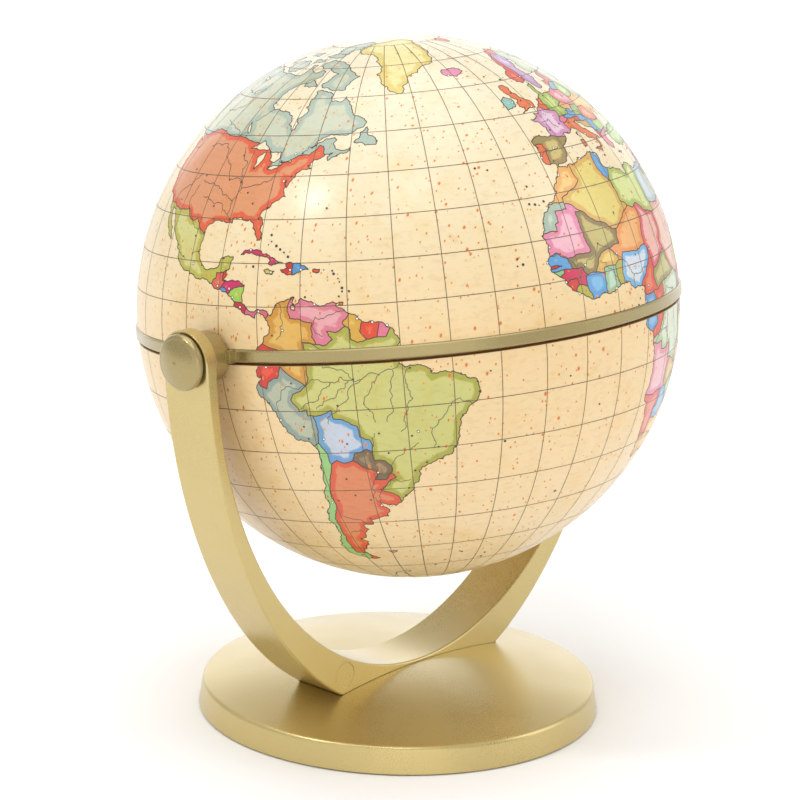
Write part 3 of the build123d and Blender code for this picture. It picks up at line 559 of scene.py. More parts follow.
TOWNS = """
-74,40.7 -71.1,42.4 -87.6,41.9 -95.4,29.8 -90.1,30 -81.7,30.3 -80.2,25.8 -84.4,33.7 -104.9,39.7
-118.2,34 -122.4,37.8 -122.3,47.6 -123.1,49.2 -114,51 -97.1,49.9 -79.4,43.7 -73.6,45.5 -71.2,46.8
-63.6,44.6 -52.7,47.6 -94.1,58.8 -149.9,61.2 -112,33.5 -93.3,45 -90.2,38.6 -96.8,32.8 -106.5,31.8
-83,42.3 -75.2,40 -79.9,32.8 -86.8,36.2 -94.6,39.1 -111.9,40.8 -103.3,20.7 -100.3,25.7 -96.1,19.2
-97.9,22.2 -89.6,21 -99.9,16.9 -106.4,23.2 -75.8,20 -71.6,10.6 -75.5,10.4 -76.5,3.4 -79.9,-2.2
-73.2,-3.7 -60,-3.1 -48.5,-1.4 -44.3,-2.5 -38.5,-3.7 -35.2,-5.8 -34.9,-8.1 -38.5,-13 -40.3,-20.3
-43.2,-22.9 -46.6,-23.5 -43.9,-19.9 -54.6,-20.5 -63.9,-8.8 -56.1,-15.6 -49.3,-16.7 -51.2,-30
-49.3,-25.4 -63.2,-17.8 -72,-13.5 -79,-8.1 -71.5,-16.4 -70.4,-23.7 -71.6,-33 -73,-36.8 -72.9,-41.5
-70.9,-53.2 -68.3,-54.8 -67.5,-45.9 -62.3,-38.7 -57.5,-38 -60.7,-32.9 -64.2,-31.4 -65.2,-26.8
-68.8,-32.9 -52.1,-32 -7.6,33.6 -9.6,30.4 -13.2,27.2 -15.9,23.7 -17,20.9 -3,16.8 -0.6,35.7
5.7,34.9 5.5,22.8 20.1,32.1 29.9,31.2 3.4,6.5 8.5,12 9.7,4 -4,5.3 13.4,38.1 12.3,45.4 -8.6,41.2
-6,37.4 2.2,41.4 5.4,43.3 -0.6,44.8 4.8,45.8 9.2,45.5 10,53.5 -3.2,56 -2.2,53.5 30.3,59.9
28.9,41 35.2,31.8 39.2,21.5 55.3,25.3 67,24.9 72.9,19.1 80.3,13.1 88.4,22.6 96.2,16.8 103.8,1.4
114.2,22.3 121.5,31.2 104.1,30.7 108.9,34.3 126.6,45.7 131.9,43.1 104.3,52.3 82.9,55 60.6,56.8
135.5,34.7 141.4,43.1 115.9,-32 138.6,-34.9 145,-37.8 151.2,-33.9 153,-27.5 130.8,-12.5 18.4,-33.9
31,-29.9 39.3,-6.8 39.7,-4 32.6,-26 27.5,-11.7 25.2,0.5 45.3,2 34.6,-19.8
"""

ISLETS = """
-61,14 -61,13.2 -61.5,15.4 -61.7,12.1 -61.8,16.2 -62.7,17.3 -64.8,18.3 -59.6,13.2 -63,18
-78,24.3 -77.3,25 -76,24 -75,23.2 -74,22.5 -73,21.5 -77.5,26.5 -81.3,19.3 -64.7,32.3 -68.9,12.2
-25.5,37.8 -28.5,38.6 -17,32.7 -16.5,28.3 -15.5,28 -14,28.7 -17.9,28.6 -24,16.7 -23,15.2 -24.3,15
-14.4,-7.9 -5.7,-16 -12.3,-37.1 -32.4,-3.9 -29.3,-20.5 -91,-0.5 -90.3,-0.8 -37,-54.3 -36.2,-54.6
-26.5,-57 -27,-59 -45.5,-60.6 -109.4,-27.1 6.6,0.2 7.4,1.6 8.7,3.5 -7,62 -1.2,60.3 14.4,35.9
3,39.6 -155.5,19.6 -156.4,20.8 -158,21.5 -159.5,22 -149.5,-17.6 -140,-9.5 -171.8,-13.8 179,-17.5
178,-18 166,-21.5 167,-16 160,-9.5 158,-8 57.5,-20.3 55.5,-21.1 55.5,-4.6 43.3,-11.6 73.5,4
69.5,-49 153,48 150,46 147,44.6 128,26.5 144.8,13.5 134.5,7.4 92.7,12 127.7,0.8 130,-3 125,-9
120,-9.7 118,-8.7 -172,53 -176,52 -153.5,57.5 -131.8,53.2
"""

# a point in each large sea, and one in the Mediterranean
OPEN_SEAS = ((-40, 20), (-20, -30), (-150, 0), (80, -40), (160, 20), (5, 39.5))

# Each row: a country, a point inside its mainland, its fill colour and the colour along its border.
# A dash stands for a country of islands only, and a country's name for the colours of that country.
COUNTRIES = """
canada -110,58 204,208,182 168,188,174
usa -100,40 222,150,104 226,86,46
alaska -152,65 usa
mexico -103,24 212,208,132 184,180,64
guatemala -90.3,15.5 232,145,130 222,90,70
belize -88.8,17.1 225,70,50 210,50,40
el_salvador -89.2,13.75 120,180,215 90,150,200
honduras -86.6,14.9 220,70,120 205,40,100
nicaragua -85,13 200,228,120 160,205,80
costa_rica -84.2,10.3 215,60,80 200,35,60
panama -80.8,8.4 232,155,172 215,100,130
cuba - 220,75,120 205,45,95
haiti -72.4,19.3 225,75,60 205,50,45
dominica -70.3,19 115,178,222 85,150,205
puerto_rico - 232,105,60 225,80,45
jamaica - 228,215,120 205,185,80
trinidad - 232,150,90 220,110,60
falklands - 235,190,200 225,140,160
colombia -73,3.5 228,182,92 208,146,54
venezuela -66,7.8 234,168,172 220,118,138
guyana -59,5 232,196,95 215,165,60
suriname -56,4 238,100,55 222,66,35
french_guiana -53,4 242,170,180 225,110,135
ecuador -78.5,-1.5 238,85,60 216,52,40
peru -74.5,-9.5 184,190,164 140,158,148
brazil -52,-9 206,204,122 170,168,58
bolivia -64.5,-17 198,206,222 92,156,206
paraguay -59,-23.2 158,136,98 122,98,68
argentina -66,-34 224,136,92 224,84,52
fuego -67.6,-54.4 argentina
chile -70.8,-30 176,212,142 150,202,122
uruguay -56,-33 242,168,120 232,120,84
greenland - 244,230,160 226,204,104
iceland - 240,180,200 225,130,165
britain - 240,165,110 230,110,60
ireland - 190,215,200 140,190,180
portugal -8,39.5 238,150,100 228,110,66
spain -4,40 206,188,118 152,132,82
france 2,46.5 232,198,218 205,140,180
low_countries 5,50.8 238,140,90 222,96,56
germany 10,51 205,222,130 160,190,80
switzerland 8,46.8 242,170,190 225,110,140
austria 15,47.9 150,195,225 100,160,210
italy 11.5,44 240,165,105 228,115,60
czechia 15.5,50 240,200,130 225,160,80
poland 19.5,52.3 242,185,190 225,120,140
hungary 19.5,47.2 190,215,150 140,180,100
slovenia 15,46 230,120,90 215,80,60
balkans 18,44.3 228,205,130 200,165,80
serbia 21,43.8 150,190,220 100,155,205
albania 20.2,40.9 220,90,80 205,60,60
bulgaria 25,42.8 210,225,140 165,195,90
romania 25,46 240,165,120 228,110,70
greece 22,39.5 240,185,195 225,130,150
baltics 24.5,55.9 150,195,220 105,160,205
estonia 26,58.3 220,120,110 210,80,80
belarus 28,53.5 205,225,150 160,195,95
ukraine 31,49 240,205,120 225,170,75
norway 9,61.5 238,120,90 222,80,55
sweden 15,62 215,190,220 180,135,190
russia 95,62 208,214,188 176,194,160
finland 26,63.5 205,220,140 165,190,85
denmark 9.3,56 finland
turkey 33,39 200,220,150 150,190,100
caucasus 45,41 235,140,110 222,95,70
syria 38.5,35 242,190,150 228,140,95
jordan 36.3,32 200,175,215 160,125,190
iraq 43.5,33 235,165,175 220,110,130
iran 54,32.5 240,200,125 226,160,80
arabia 45,24 205,220,150 160,190,95
yemen 47.5,16 235,130,95 220,85,55
oman 57,21 240,185,200 225,130,160
emirates 54.5,23.4 130,185,220 95,150,205
turkmen 58,39.5 200,180,215 160,130,190
uzbek 65,40.2 240,215,140 225,180,90
kazakh 68,48 240,180,130 228,130,80
afghan 66,34 205,185,120 165,140,80
pakistan 68.5,28.5 240,175,160 226,120,105
india 78,22 235,150,175 218,95,135
nepal 84,28.2 225,225,140 190,190,85
bangladesh 90.2,24.3 200,222,140 150,190,90
myanmar 96,21 230,220,130 200,185,80
thailand 101,15.5 austria
laos 103,19.5 235,130,95 222,85,55
cambodia 104.8,12.8 215,175,215 180,125,190
vietnam 108.3,14 242,190,120 228,145,75
malaysia 102.3,4.3 232,90,75 215,60,55
china 105,35 242,222,140 228,190,85
mongolia 104,46.5 205,190,220 165,140,195
north_korea 126.9,40 205,225,160 160,195,110
south_korea 127.8,36.5 240,150,120 226,100,75
japan - 240,150,150 226,95,105
taiwan - china
philippines - 205,222,140 160,190,85
borneo 113.5,-0.5 205,222,150 155,190,100
sabah 117,5.5 232,120,95 215,80,65
indonesia - borneo
papua 144.5,-6 240,190,140 226,145,90
irian 139,-4.5 borneo
sri_lanka - austria
western_australia 122,-26 242,195,140 230,145,85
northern_territory 133.5,-20 215,222,140 175,190,85
south_australia 135,-29 235,175,190 220,120,145
queensland 145,-23 240,160,120 228,105,70
new_south_wales 146,-32 205,215,225 150,180,210
victoria 143.5,-36.8 225,215,120 195,180,75
australia - northern_territory
tasmania - 240,165,160 226,110,115
new_zealand - philippines
antarctica 90,-82 244,232,204 238,220,178
morocco -6,32 242,205,128 235,170,90
western_sahara -13.5,25 200,212,192 165,185,165
algeria 3,28 230,210,118 220,172,86
tunisia 9.3,34.6 150,196,224 100,160,210
libya 17.5,27 222,230,152 175,190,90
egypt 29,27 202,215,214 160,190,200
mauritania -10,19 242,185,200 228,132,165
mali -1.5,18 198,184,108 136,114,66
senegal -14.5,14.8 136,192,226 96,158,210
gambia -15,13.45 225,75,55 210,50,45
casamance -14.5,12.85 senegal
guinea_bissau -14.8,12 190,222,170 140,196,130
guinea -10.5,11 228,70,105 210,45,85
sierra_leone -11.7,8.6 226,90,72 212,60,55
liberia -9.3,6.6 212,210,100 180,178,66
ivory_coast -5.5,7.5 126,186,226 90,155,212
burkina -1.5,12.6 234,204,112 214,170,74
ghana -1.2,8 192,216,190 145,190,150
togo 1,8.5 205,202,88 180,172,60
benin 2.2,9.5 220,80,55 205,55,42
niger 9,17.5 245,185,118 238,148,80
nigeria 7.5,9.8 216,226,236 110,180,230
chad 18.5,15 245,190,182 226,80,100
sudan 30,14 245,204,184 232,150,125
ethiopia 39.5,8.5 philippines
eritrea 38.7,15.6 225,110,90 210,70,60
somalia 47.5,7 240,200,120 226,160,76
kenya 38,0.5 238,165,120 226,110,72
uganda 32.3,1.8 turkmen
tanzania 35,-6.5 225,225,150 190,190,95
mozambique 37.5,-13.5 240,180,190 226,125,145
malawi 33.6,-12.8 220,95,80 205,65,60
zambia 27,-14.5 230,200,120 210,160,75
zimbabwe 29.8,-19 190,216,160 145,190,110
botswana 23.5,-22 tunisia
south_africa 24,-30.5 240,205,125 228,165,80
mozambique_south 33.5,-23.5 mozambique
namibia 16.5,-21 238,142,125 224,92,80
angola 17.5,-12 242,192,202 228,138,160
dr_congo 23.5,-2.5 216,226,200 175,200,150
congo 15.5,-0.2 238,112,78 222,76,50
gabon 11.8,-0.6 130,188,226 95,155,212
cameroon 12.3,5.5 238,125,88 222,82,55
central_africa 20.5,6.5 204,194,124 160,146,80
rwanda 30,-2.6 232,120,100 218,80,70
madagascar - new_south_wales
"""


# ---- map geometry ---------------------------------------------------------------
SHEET_DEPTH = 0.035 * MM       # printed face, below the ball's full radius
GRID_DEPTH = 0.018 * MM        # graticule ink
INK_DEPTH = 0.012 * MM         # coast, border and river ink
SYMBOL_DEPTH = 0.006 * MM      # town marks
FILL_DEPTH = SYMBOL_DEPTH + 0.003 * MM
SHEET_THICKNESS = 0.3 * MM

COAST_WIDTH = 0.17 * MM
GRID_WIDTH = 0.14 * MM
RIVER_WIDTH = 0.11 * MM
STROKE_OVERRUN = 0.02 * MM     # past each end, so that strokes in a row leave no gap
TOWN_RADIUS = 0.2 * MM
CAPITAL_RADII = (0.29 * MM, 0.18 * MM)   # of a ring round a white fill
CAPITAL_FILL = 0.2 * MM
ISLET_RADII = (0.14, 0.3)      # smallest and largest, millimetres

PRINT_TURN = 88.3              # longitude that faces +X, degrees
NORTH_RIM = 1.36               # latitude on the ball where the equator is printed, degrees
SOUTH_RIM = 1.95
NORTH_BEND = 4.2               # degrees that the print's middle latitudes lie nearer the equator
SOUTH_BEND = 1.6
JUST_SOUTH = -1e-6             # latitude that still counts as southern, degrees
GRID_STEP = 10                 # between the graticule's lines, degrees

PRINT_ALBEDO = 0.89            # share of the drawn colours' light that the print gives back
BAND = 1.15                    # width of the coloured edge along a border, degrees
BAND_BLUR = 0.2                # either side of that width, degrees
BAND_WANDER = 1.8              # how far the band's inner side wanders, degrees
FAR_INLAND = 10.0              # distance from a border that is stored as 1, degrees

# Each kind of line: how far midpoints wander, as a share of their piece's length, and the
# longest piece that stays straight, in degrees.
COAST_ROUGH = (0.2, 0.5)
ISLAND_ROUGH = (0.2, 0.45)
LAKE_ROUGH = (0.12, 0.7)
BORDER_ROUGH = (0.11, 0.7)
ICE_ROUGH = (0.15, 1.2)
RIVER_ROUGH = (0.24, 0.6)
# Near a pole a degree of longitude is taken to be at least this share of one of latitude,
# along a line and for the free points beside it.
LINE_SHRINK = 0.2
BESIDE_SHRINK = 0.15

# Free points that make the triangles small and even, in degrees.
ROW_STEP = 3                   # between rows of the plain grid
WIDEST_STEP = 24               # along a row near a pole
BESIDE_SHORE = (-1.6, -0.95, -0.4, 0.4, 0.95, 1.6)
SHORE_SAMPLE = 0.3             # between the shore points that free points keep clear of
CLEAR_OF_SHORE = 0.26
CLEAR_OF_OTHERS = 0.33
POLAR = 80                     # points beyond this latitude are thinned apart from the rest
POLE_LIMIT = 88.5              # no free points beyond this latitude
SEAM_MARGIN = 0.3              # nor this near the seam
MERGE_DISTANCE = 1e-4          # points closer than this are one
INLAND_SAMPLE = 0.2            # between the border points that distances are measured to

# Cream in the north, warmer tan from the equator southwards.
SEA_STOPS = ((-90, (241, 219, 176)), (-25, (243, 214, 164)), (0, (243, 212, 158)),
             (25, (243, 223, 181)), (60, (243, 231, 199)), (90, (243, 233, 207)))

rng = random.Random(7)
tilt = Vector((0, 0, 1)).rotation_difference(north_axis).to_matrix()


def rows(table):
    return table.strip().replace("\n ", " ").split("\n")


def points(text):
    return [tuple(float(number) for number in point.split(",")) for point in text.split()]


def country_table():
    """Seed point, fill colour and border colour of every country, in the order of the table."""
    table = {}
    for row in rows(COUNTRIES):
        name, seed, *colours = row.split()
        place = None if seed == "-" else points(seed)[0]
        fill, edge = table[colours[0]][1:] if len(colours) == 1 else points(" ".join(colours))
        table[name] = (place, fill, edge)
    return table


def sphere_point(longitude, latitude):
    """Point on a unit sphere about the Z axis."""
    turn, rise = radians(longitude), radians(latitude)
    return Vector((cos(rise) * cos(turn), cos(rise) * sin(turn), sin(rise)))


def on_ball(longitude, latitude):
    """Unit vector from the ball's centre to a printed longitude and a latitude of the ball itself."""
    return tilt @ sphere_point(longitude - PRINT_TURN, latitude)


def drawn_latitude(latitude):
    """Latitude on the ball of a printed latitude; the print stops at the ring's two sides."""
    bend = sin(radians(2 * latitude))
    if latitude >= 0:
        return latitude + NORTH_RIM * cos(radians(latitude)) - NORTH_BEND * bend
    return latitude - SOUTH_RIM * cos(radians(latitude)) - SOUTH_BEND * bend


def direction(longitude, latitude):
    """Unit vector from the ball's centre to a printed longitude and latitude."""
    return on_ball(longitude, drawn_latitude(latitude))


def half_direction(place, south):
    """The same on one half of the print, where the equator lies on that half's own rim."""
    return direction(place[0], min(place[1], JUST_SOUTH) if south else max(place[1], 0))


def roughened(line, wander, longest, closed=False):
    """A line broken up by midpoints that wander aside, so that it looks like a real coast."""
    def split(a, b):
        shrink = cos(radians((a[1] + b[1]) / 2))
        length = hypot((b[0] - a[0]) * shrink, b[1] - a[1])
        if length < longest:
            return [a]
        aside = rng.uniform(-wander, wander)
        middle = ((a[0] + b[0]) / 2 - (b[1] - a[1]) * aside / max(shrink, LINE_SHRINK),
                  (a[1] + b[1]) / 2 + (b[0] - a[0]) * shrink * aside)
        return split(a, middle) + split(middle, b)

    ends = line + line[:1] if closed else line
    out = []
    for a, b in zip(ends, ends[1:]):
        out += split(a, b)
    return out if closed else out + [ends[-1]]


def lengthened(line, extra=0.8):
    """A line run on a little past both ends, so that it surely meets the coast or border there."""
    def beyond(end, before):
        reach = hypot(end[0] - before[0], end[1] - before[1])
        return tuple(end[k] + (end[k] - before[k]) * extra / reach for k in (0, 1))
    return [beyond(line[0], line[1])] + line + [beyond(line[-1], line[-2])]


def inside(outline, longitude, latitude):
    hit = False
    for a, b in zip(outline, outline[1:] + outline[:1]):
        if (a[1] > latitude) != (b[1] > latitude):
            if longitude < a[0] + (latitude - a[1]) / (b[1] - a[1]) * (b[0] - a[0]):
                hit = not hit
    return hit


countries = country_table()
continents = [roughened(points(text), *COAST_ROUGH, closed=True) for text in (AMERICAS, OLD_WORLD)]
islands = []
for island_row in rows(ISLANDS):
    owner, island_text = island_row.split(" ", 1)
    islands.append((owner, roughened(points(island_text), *ISLAND_ROUGH, closed=True)))
lakes = [roughened(points(row), *LAKE_ROUGH, closed=True) for row in rows(LAKES)]
borders = [lengthened(roughened(points(row), *BORDER_ROUGH)) for row in rows(BORDERS)]
ice_shore = roughened(points(ANTARCTICA), *ICE_ROUGH)


def tree_of(spots):
    tree = kdtree.KDTree(len(spots))
    for index, spot in enumerate(spots):
        tree.insert(spot, index)
    tree.balance()
    return tree


def samples(a, b, step):
    """Points on the unit sphere along a straight piece of map, about step degrees apart."""
    length = hypot((b[0] - a[0]) * cos(radians(a[1])), b[1] - a[1])
    count = max(1, round(length / step))
    return [sphere_point(a[0] + (b[0] - a[0]) * k / count, a[1] + (b[1] - a[1]) * k / count)
            for k in range(count + 1)]


def loose_points(shores):
    """Grid points over the whole map, and rows beside every shore and border."""
    spots = []
    for latitude in range(ROW_STEP - 90, 90, ROW_STEP):
        step = min(ROW_STEP / cos(radians(latitude)), WIDEST_STEP)
        count = round(360 / step)
        spots += [(SEAM + 360 * (k + 0.5) / count, latitude) for k in range(count)]
    for a, b in shores:
        shrink = max(cos(radians(a[1])), BESIDE_SHRINK)
        along = Vector(((b[0] - a[0]) * shrink, b[1] - a[1]))
        if along.length < 1e-6:
            continue
        across = Vector((-along.y, along.x)).normalized()
        for offset in BESIDE_SHORE:
            spots.append(((a[0] + b[0]) / 2 + across.x * offset / shrink,
                          (a[1] + b[1]) / 2 + across.y * offset))
    west, east = SEAM + SEAM_MARGIN, SEAM + (360 - SEAM_MARGIN)
    return [spot for spot in spots if abs(spot[1]) < POLE_LIMIT and west < spot[0] < east]


def free_points(shores):
    """Those points thinned out, so that none is close to a shore or to another."""
    keep_clear = tree_of([spot for a, b in shores for spot in samples(a, b, SHORE_SAMPLE)])
    taken = set()
    kept = []
    for longitude, latitude in loose_points(shores):
        cell = (round(longitude * cos(radians(latitude)) / CLEAR_OF_OTHERS),
                round(latitude / CLEAR_OF_OTHERS), abs(latitude) > POLAR)
        near = keep_clear.find(sphere_point(longitude, latitude))[2] < radians(CLEAR_OF_SHORE)
        if cell in taken or near:
            continue
        taken.add(cell)
        kept.append(Vector((longitude, latitude)))
    return kept


def edges_of(face):
    """A triangle's edges, each as an unordered pair of vertex numbers."""
    return [frozenset(pair) for pair in zip(face, face[1:] + face[:1])]


class PrintedMap:
    """The map cut into triangles on the longitude-latitude plane, with the country of each."""

    def __init__(self):
        self.verts = []
        self.lines = []
        self.cut()
        self.gather()
        self.name()
        self.country = [self.names[number] for number in self.region]
        self.inked = [edge for edge in self.walls
                      if len({self.country[face] for face in self.sides[edge]}) > 1]

    def add(self, line, closed=False):
        first = len(self.verts)
        self.verts += [Vector(point) for point in line]
        self.lines += [(first + i, first + i + 1) for i in range(len(line) - 1)]
        if closed:
            self.lines.append((first + len(line) - 1, first))

    def cut(self):
        """Triangles, and their walls: the edges that lie on a shore or border."""
        for outline in continents + [outline for _, outline in islands] + lakes:
            self.add(outline, True)
        for line in borders + [ice_shore]:
            self.add(line)
        shore_count = len(self.lines)
        self.verts += free_points([(self.verts[a], self.verts[b]) for a, b in self.lines])
        for quarter in range(5):
            self.add([(SEAM + 90 * quarter, latitude) for latitude in range(-90, 91, ROW_STEP)])
        # rows beside the poles keep the triangles there from growing long and thin
        for latitude in (-90, -87, -84, 0, 84, 87, 90):
            self.add([(SEAM + ROW_STEP * k, latitude) for k in range(360 // ROW_STEP + 1)])
        # output type 0: triangles over the whole map, with the lines kept as edges
        cut = delaunay_2d_cdt(self.verts, self.lines, [], 0, MERGE_DISTANCE)
        self.verts, edges, self.faces, _, origins, _ = cut
        self.walls = {frozenset(edge): True for edge, source in zip(edges, origins)
                      if any(index < shore_count for index in source)}
        self.sides = {}
        for index, face in enumerate(self.faces):
            for edge in edges_of(face):
                self.sides.setdefault(edge, []).append(index)

    def gather(self):
        """Groups of triangles that no wall parts, and the group number of each triangle."""
        self.region = [-1] * len(self.faces)
        self.groups = []
        for start in range(len(self.faces)):
            if self.region[start] >= 0:
                continue
            number = len(self.groups)
            self.region[start] = number
            group, queue = [], [start]
            while queue:
                face = queue.pop()
                group.append(face)
                for edge in edges_of(self.faces[face]):
                    if edge in self.walls:
                        continue
                    for other in self.sides[edge]:
                        if self.region[other] < 0:
                            self.region[other] = number
                            queue.append(other)
            self.groups.append(group)

    def corners(self, face):
        return [self.verts[corner] for corner in self.faces[face]]

    def box(self, group):
        xs = [vert.x for face in group for vert in self.corners(face)]
        ys = [vert.y for face in group for vert in self.corners(face)]
        return min(xs), max(xs), min(ys), max(ys)

    def holding(self, boxes, longitude, latitude):
        """Number of the group that holds a place on the map."""
        for number, (low_x, high_x, low_y, high_y) in enumerate(boxes):
            if low_x <= longitude <= high_x and low_y <= latitude <= high_y:
                for face in self.groups[number]:
                    if inside(self.corners(face), longitude, latitude):
                        return number
        return None

    def place_in(self, group):
        """The middle of a group's biggest triangle."""
        middle, biggest = (0, 0), -1
        for face in group:
            a, b, c = self.corners(face)
            area = abs((b - a).cross(c - a))
            if area > biggest:
                middle, biggest = tuple((a + b + c) / 3), area
        return middle

    def name_by_place(self, group):
        """A lake is sea, an island has its country, and land that no seed named waits."""
        spot = self.place_in(group)
        if any(inside(outline, *spot) for outline in lakes):
            return "sea"
        for country, outline in islands:
            if inside(outline, *spot):
                return country
        return None if any(inside(outline, *spot) for outline in continents) else "sea"

    def name_by_neighbour(self, group):
        """The country that the group shares most of its edge with."""
        shared = {}
        for face in group:
            for edge in edges_of(self.faces[face]):
                a, b = (self.verts[corner] for corner in edge)
                for other in self.sides[edge]:
                    name = self.names[self.region[other]]
                    if name not in (None, "sea"):
                        shared[name] = shared.get(name, 0) + (a - b).length
        return max(shared, key=shared.get) if shared else None

    def name(self):
        """Names the groups, by seed points first. Where a border leaks, the country listed first wins."""
        boxes = [self.box(group) for group in self.groups]
        self.names = [None] * len(self.groups)
        for place in OPEN_SEAS:
            self.names[self.holding(boxes, *place)] = "sea"
        for country, (seed, _, _) in countries.items():
            if seed:
                number = self.holding(boxes, *seed)
                self.names[number] = self.names[number] or country
        for naming, rounds in ((self.name_by_place, 1), (self.name_by_neighbour, 4)):
            for _ in range(rounds):
                for number, group in enumerate(self.groups):
                    if self.names[number] is None:
                        self.names[number] = naming(group)
        self.names = [name or "sea" for name in self.names]

    def inland(self):
        """Degrees from each vertex to the nearest inked edge."""
        spots = []
        for edge in self.inked:
            spots += samples(*(self.verts[corner] for corner in edge), INLAND_SAMPLE)
        shore = tree_of(spots)
        return [degrees(shore.find(sphere_point(*vert))[2]) for vert in self.verts]


def printed_colours(country, latitude):
    """Colours of the print well inside a country and along its border; the sea has one colour."""
    if country != "sea":
        return countries[country][1:]
    for (low, a), (high, b) in zip(SEA_STOPS, SEA_STOPS[1:]):
        if latitude <= high:
            share = (latitude - low) / (high - low)
            return 2 * ([a[k] + (b[k] - a[k]) * share for k in range(3)],)
    return 2 * (SEA_STOPS[-1][1],)


def sheet_mesh(name, verts, faces, colours, material):
    """A smooth piece of the printed sheet; verts are unit directions, colours two lists, one per corner."""
    used = sorted({corner for face in faces for corner in face})
    place = {corner: index for index, corner in enumerate(used)}
    mesh = bpy.data.meshes.new(name)
    radius = ball_radius - SHEET_DEPTH
    mesh.from_pydata([ball_centre + verts[corner] * radius for corner in used], [],
                     [[place[corner] for corner in face] for face in faces])
    for layer_name, corners in zip(("fill", "edge"), colours):
        layer = mesh.color_attributes.new(layer_name, "FLOAT_COLOR", "CORNER")
        layer.data.foreach_set("color", [value for colour in corners for value in colour])
    mesh.shade_smooth()
    mesh.normals_split_custom_set_from_vertices([verts[corner] for corner in used])
    mesh.materials.append(material)
    return placed(name, mesh)


class Ink:
    """Thin flat strokes and dots that lie on the ball, gathered into one mesh."""

    def __init__(self, depth):
        self.radius = ball_radius - depth
        self.verts = []
        self.faces = []

    def corner(self, spot):
        self.verts.append(ball_centre + spot.normalized() * self.radius)

    def stroke(self, start, end, width):
        """Straight stroke between two unit directions."""
        along = end - start
        if along.length < 1e-7:
            return
        along.normalize()
        first = len(self.verts)
        for spot, reach in ((start, -STROKE_OVERRUN), (end, STROKE_OVERRUN)):
            across = along.cross(spot).normalized() * width / 2
            for side in (-1, 1):
                self.corner(spot * self.radius + along * reach + across * side)
        self.faces.append((first, first + 1, first + 3, first + 2))

    def route(self, spots, width):
        """Strokes along a row of unit directions."""
        for a, b in zip(spots, spots[1:]):
            self.stroke(a, b, width)

    def circle(self, out, radius, sides):
        aside = out.orthogonal().normalized()
        other = out.cross(aside)
        for k in range(sides):
            turn = 2 * pi * k / sides
            self.corner(out * self.radius + (aside * cos(turn) + other * sin(turn)) * radius)

    def dot(self, place, radius, sides=14):
        first = len(self.verts)
        self.circle(direction(*place), radius, sides)
        self.faces.append(tuple(range(first, first + sides)))

    def ring(self, place, outer, inner, sides=14):
        first = len(self.verts)
        for radius in (outer, inner):
            self.circle(direction(*place), radius, sides)
        for k in range(sides):
            after = (k + 1) % sides
            self.faces.append((first + k, first + after, first + sides + after, first + sides + k))

    def piece(self, name, material):
        mesh = bpy.data.meshes.new(name)
        mesh.from_pydata(self.verts, [], self.faces)
        mesh.shade_smooth()
        outward = [(vert - ball_centre).normalized() for vert in self.verts]
        mesh.normals_split_custom_set_from_vertices(outward)
        mesh.materials.append(material)
        return placed(name, mesh)


# ---- materials --------------------------------------------------------------------
FITTINGS_PAINTED_SHADE = 0.64          # painted shade: the ring and pivot caps get the stand's gold darkened to this share, for the darker surroundings they reflect
# Two sizes of fleck: cells per metre, radius as a share of a cell, and share of cells with a fleck.
FLECKS = ((500, 0.25, 0.6), (840, 0.27, 0.5))


def gold_paint(name, shade):
    """Satin gold sprayed over plastic under clear lacquer: fine grain, slightly uneven tone."""
    shader = Shader(name, Metallic=0.8, IOR=1.5, Coat_Weight=0.6, Coat_Roughness=0.24, Coat_IOR=1.6)
    tone = shader.noise(60, 2)
    grain = shader.noise(7000, 2, 0.6)
    base = shader.ramp(tone, (0.3, srgb(198, 176, 112)), (0.7, srgb(206, 185, 120)))
    dark = shader.ramp(grain, (0.25, srgb(180, 158, 96)), (0.75, srgb(216, 197, 134)))
    # The shade factor darkens the whole colour. Below 1 it is painted shade, which makes a darker copy of this
    # gold for parts that reflect darker surroundings.
    shader.colour(shader.mix(1.0, shader.mix(0.45, base, dark), (shade, shade, shade, 1), "MULTIPLY"))
    shader.roughness(shader.mask(shader.maths("ADD", tone, grain), 0.0, 3.1))
    rounded = shader.node("ShaderNodeBevel", {"Radius": 0.22 * MM}, samples=4).outputs[0]
    shader.normal(shader.bump(grain, 0.02 * MM, rounded, 0.5))
    return shader.material


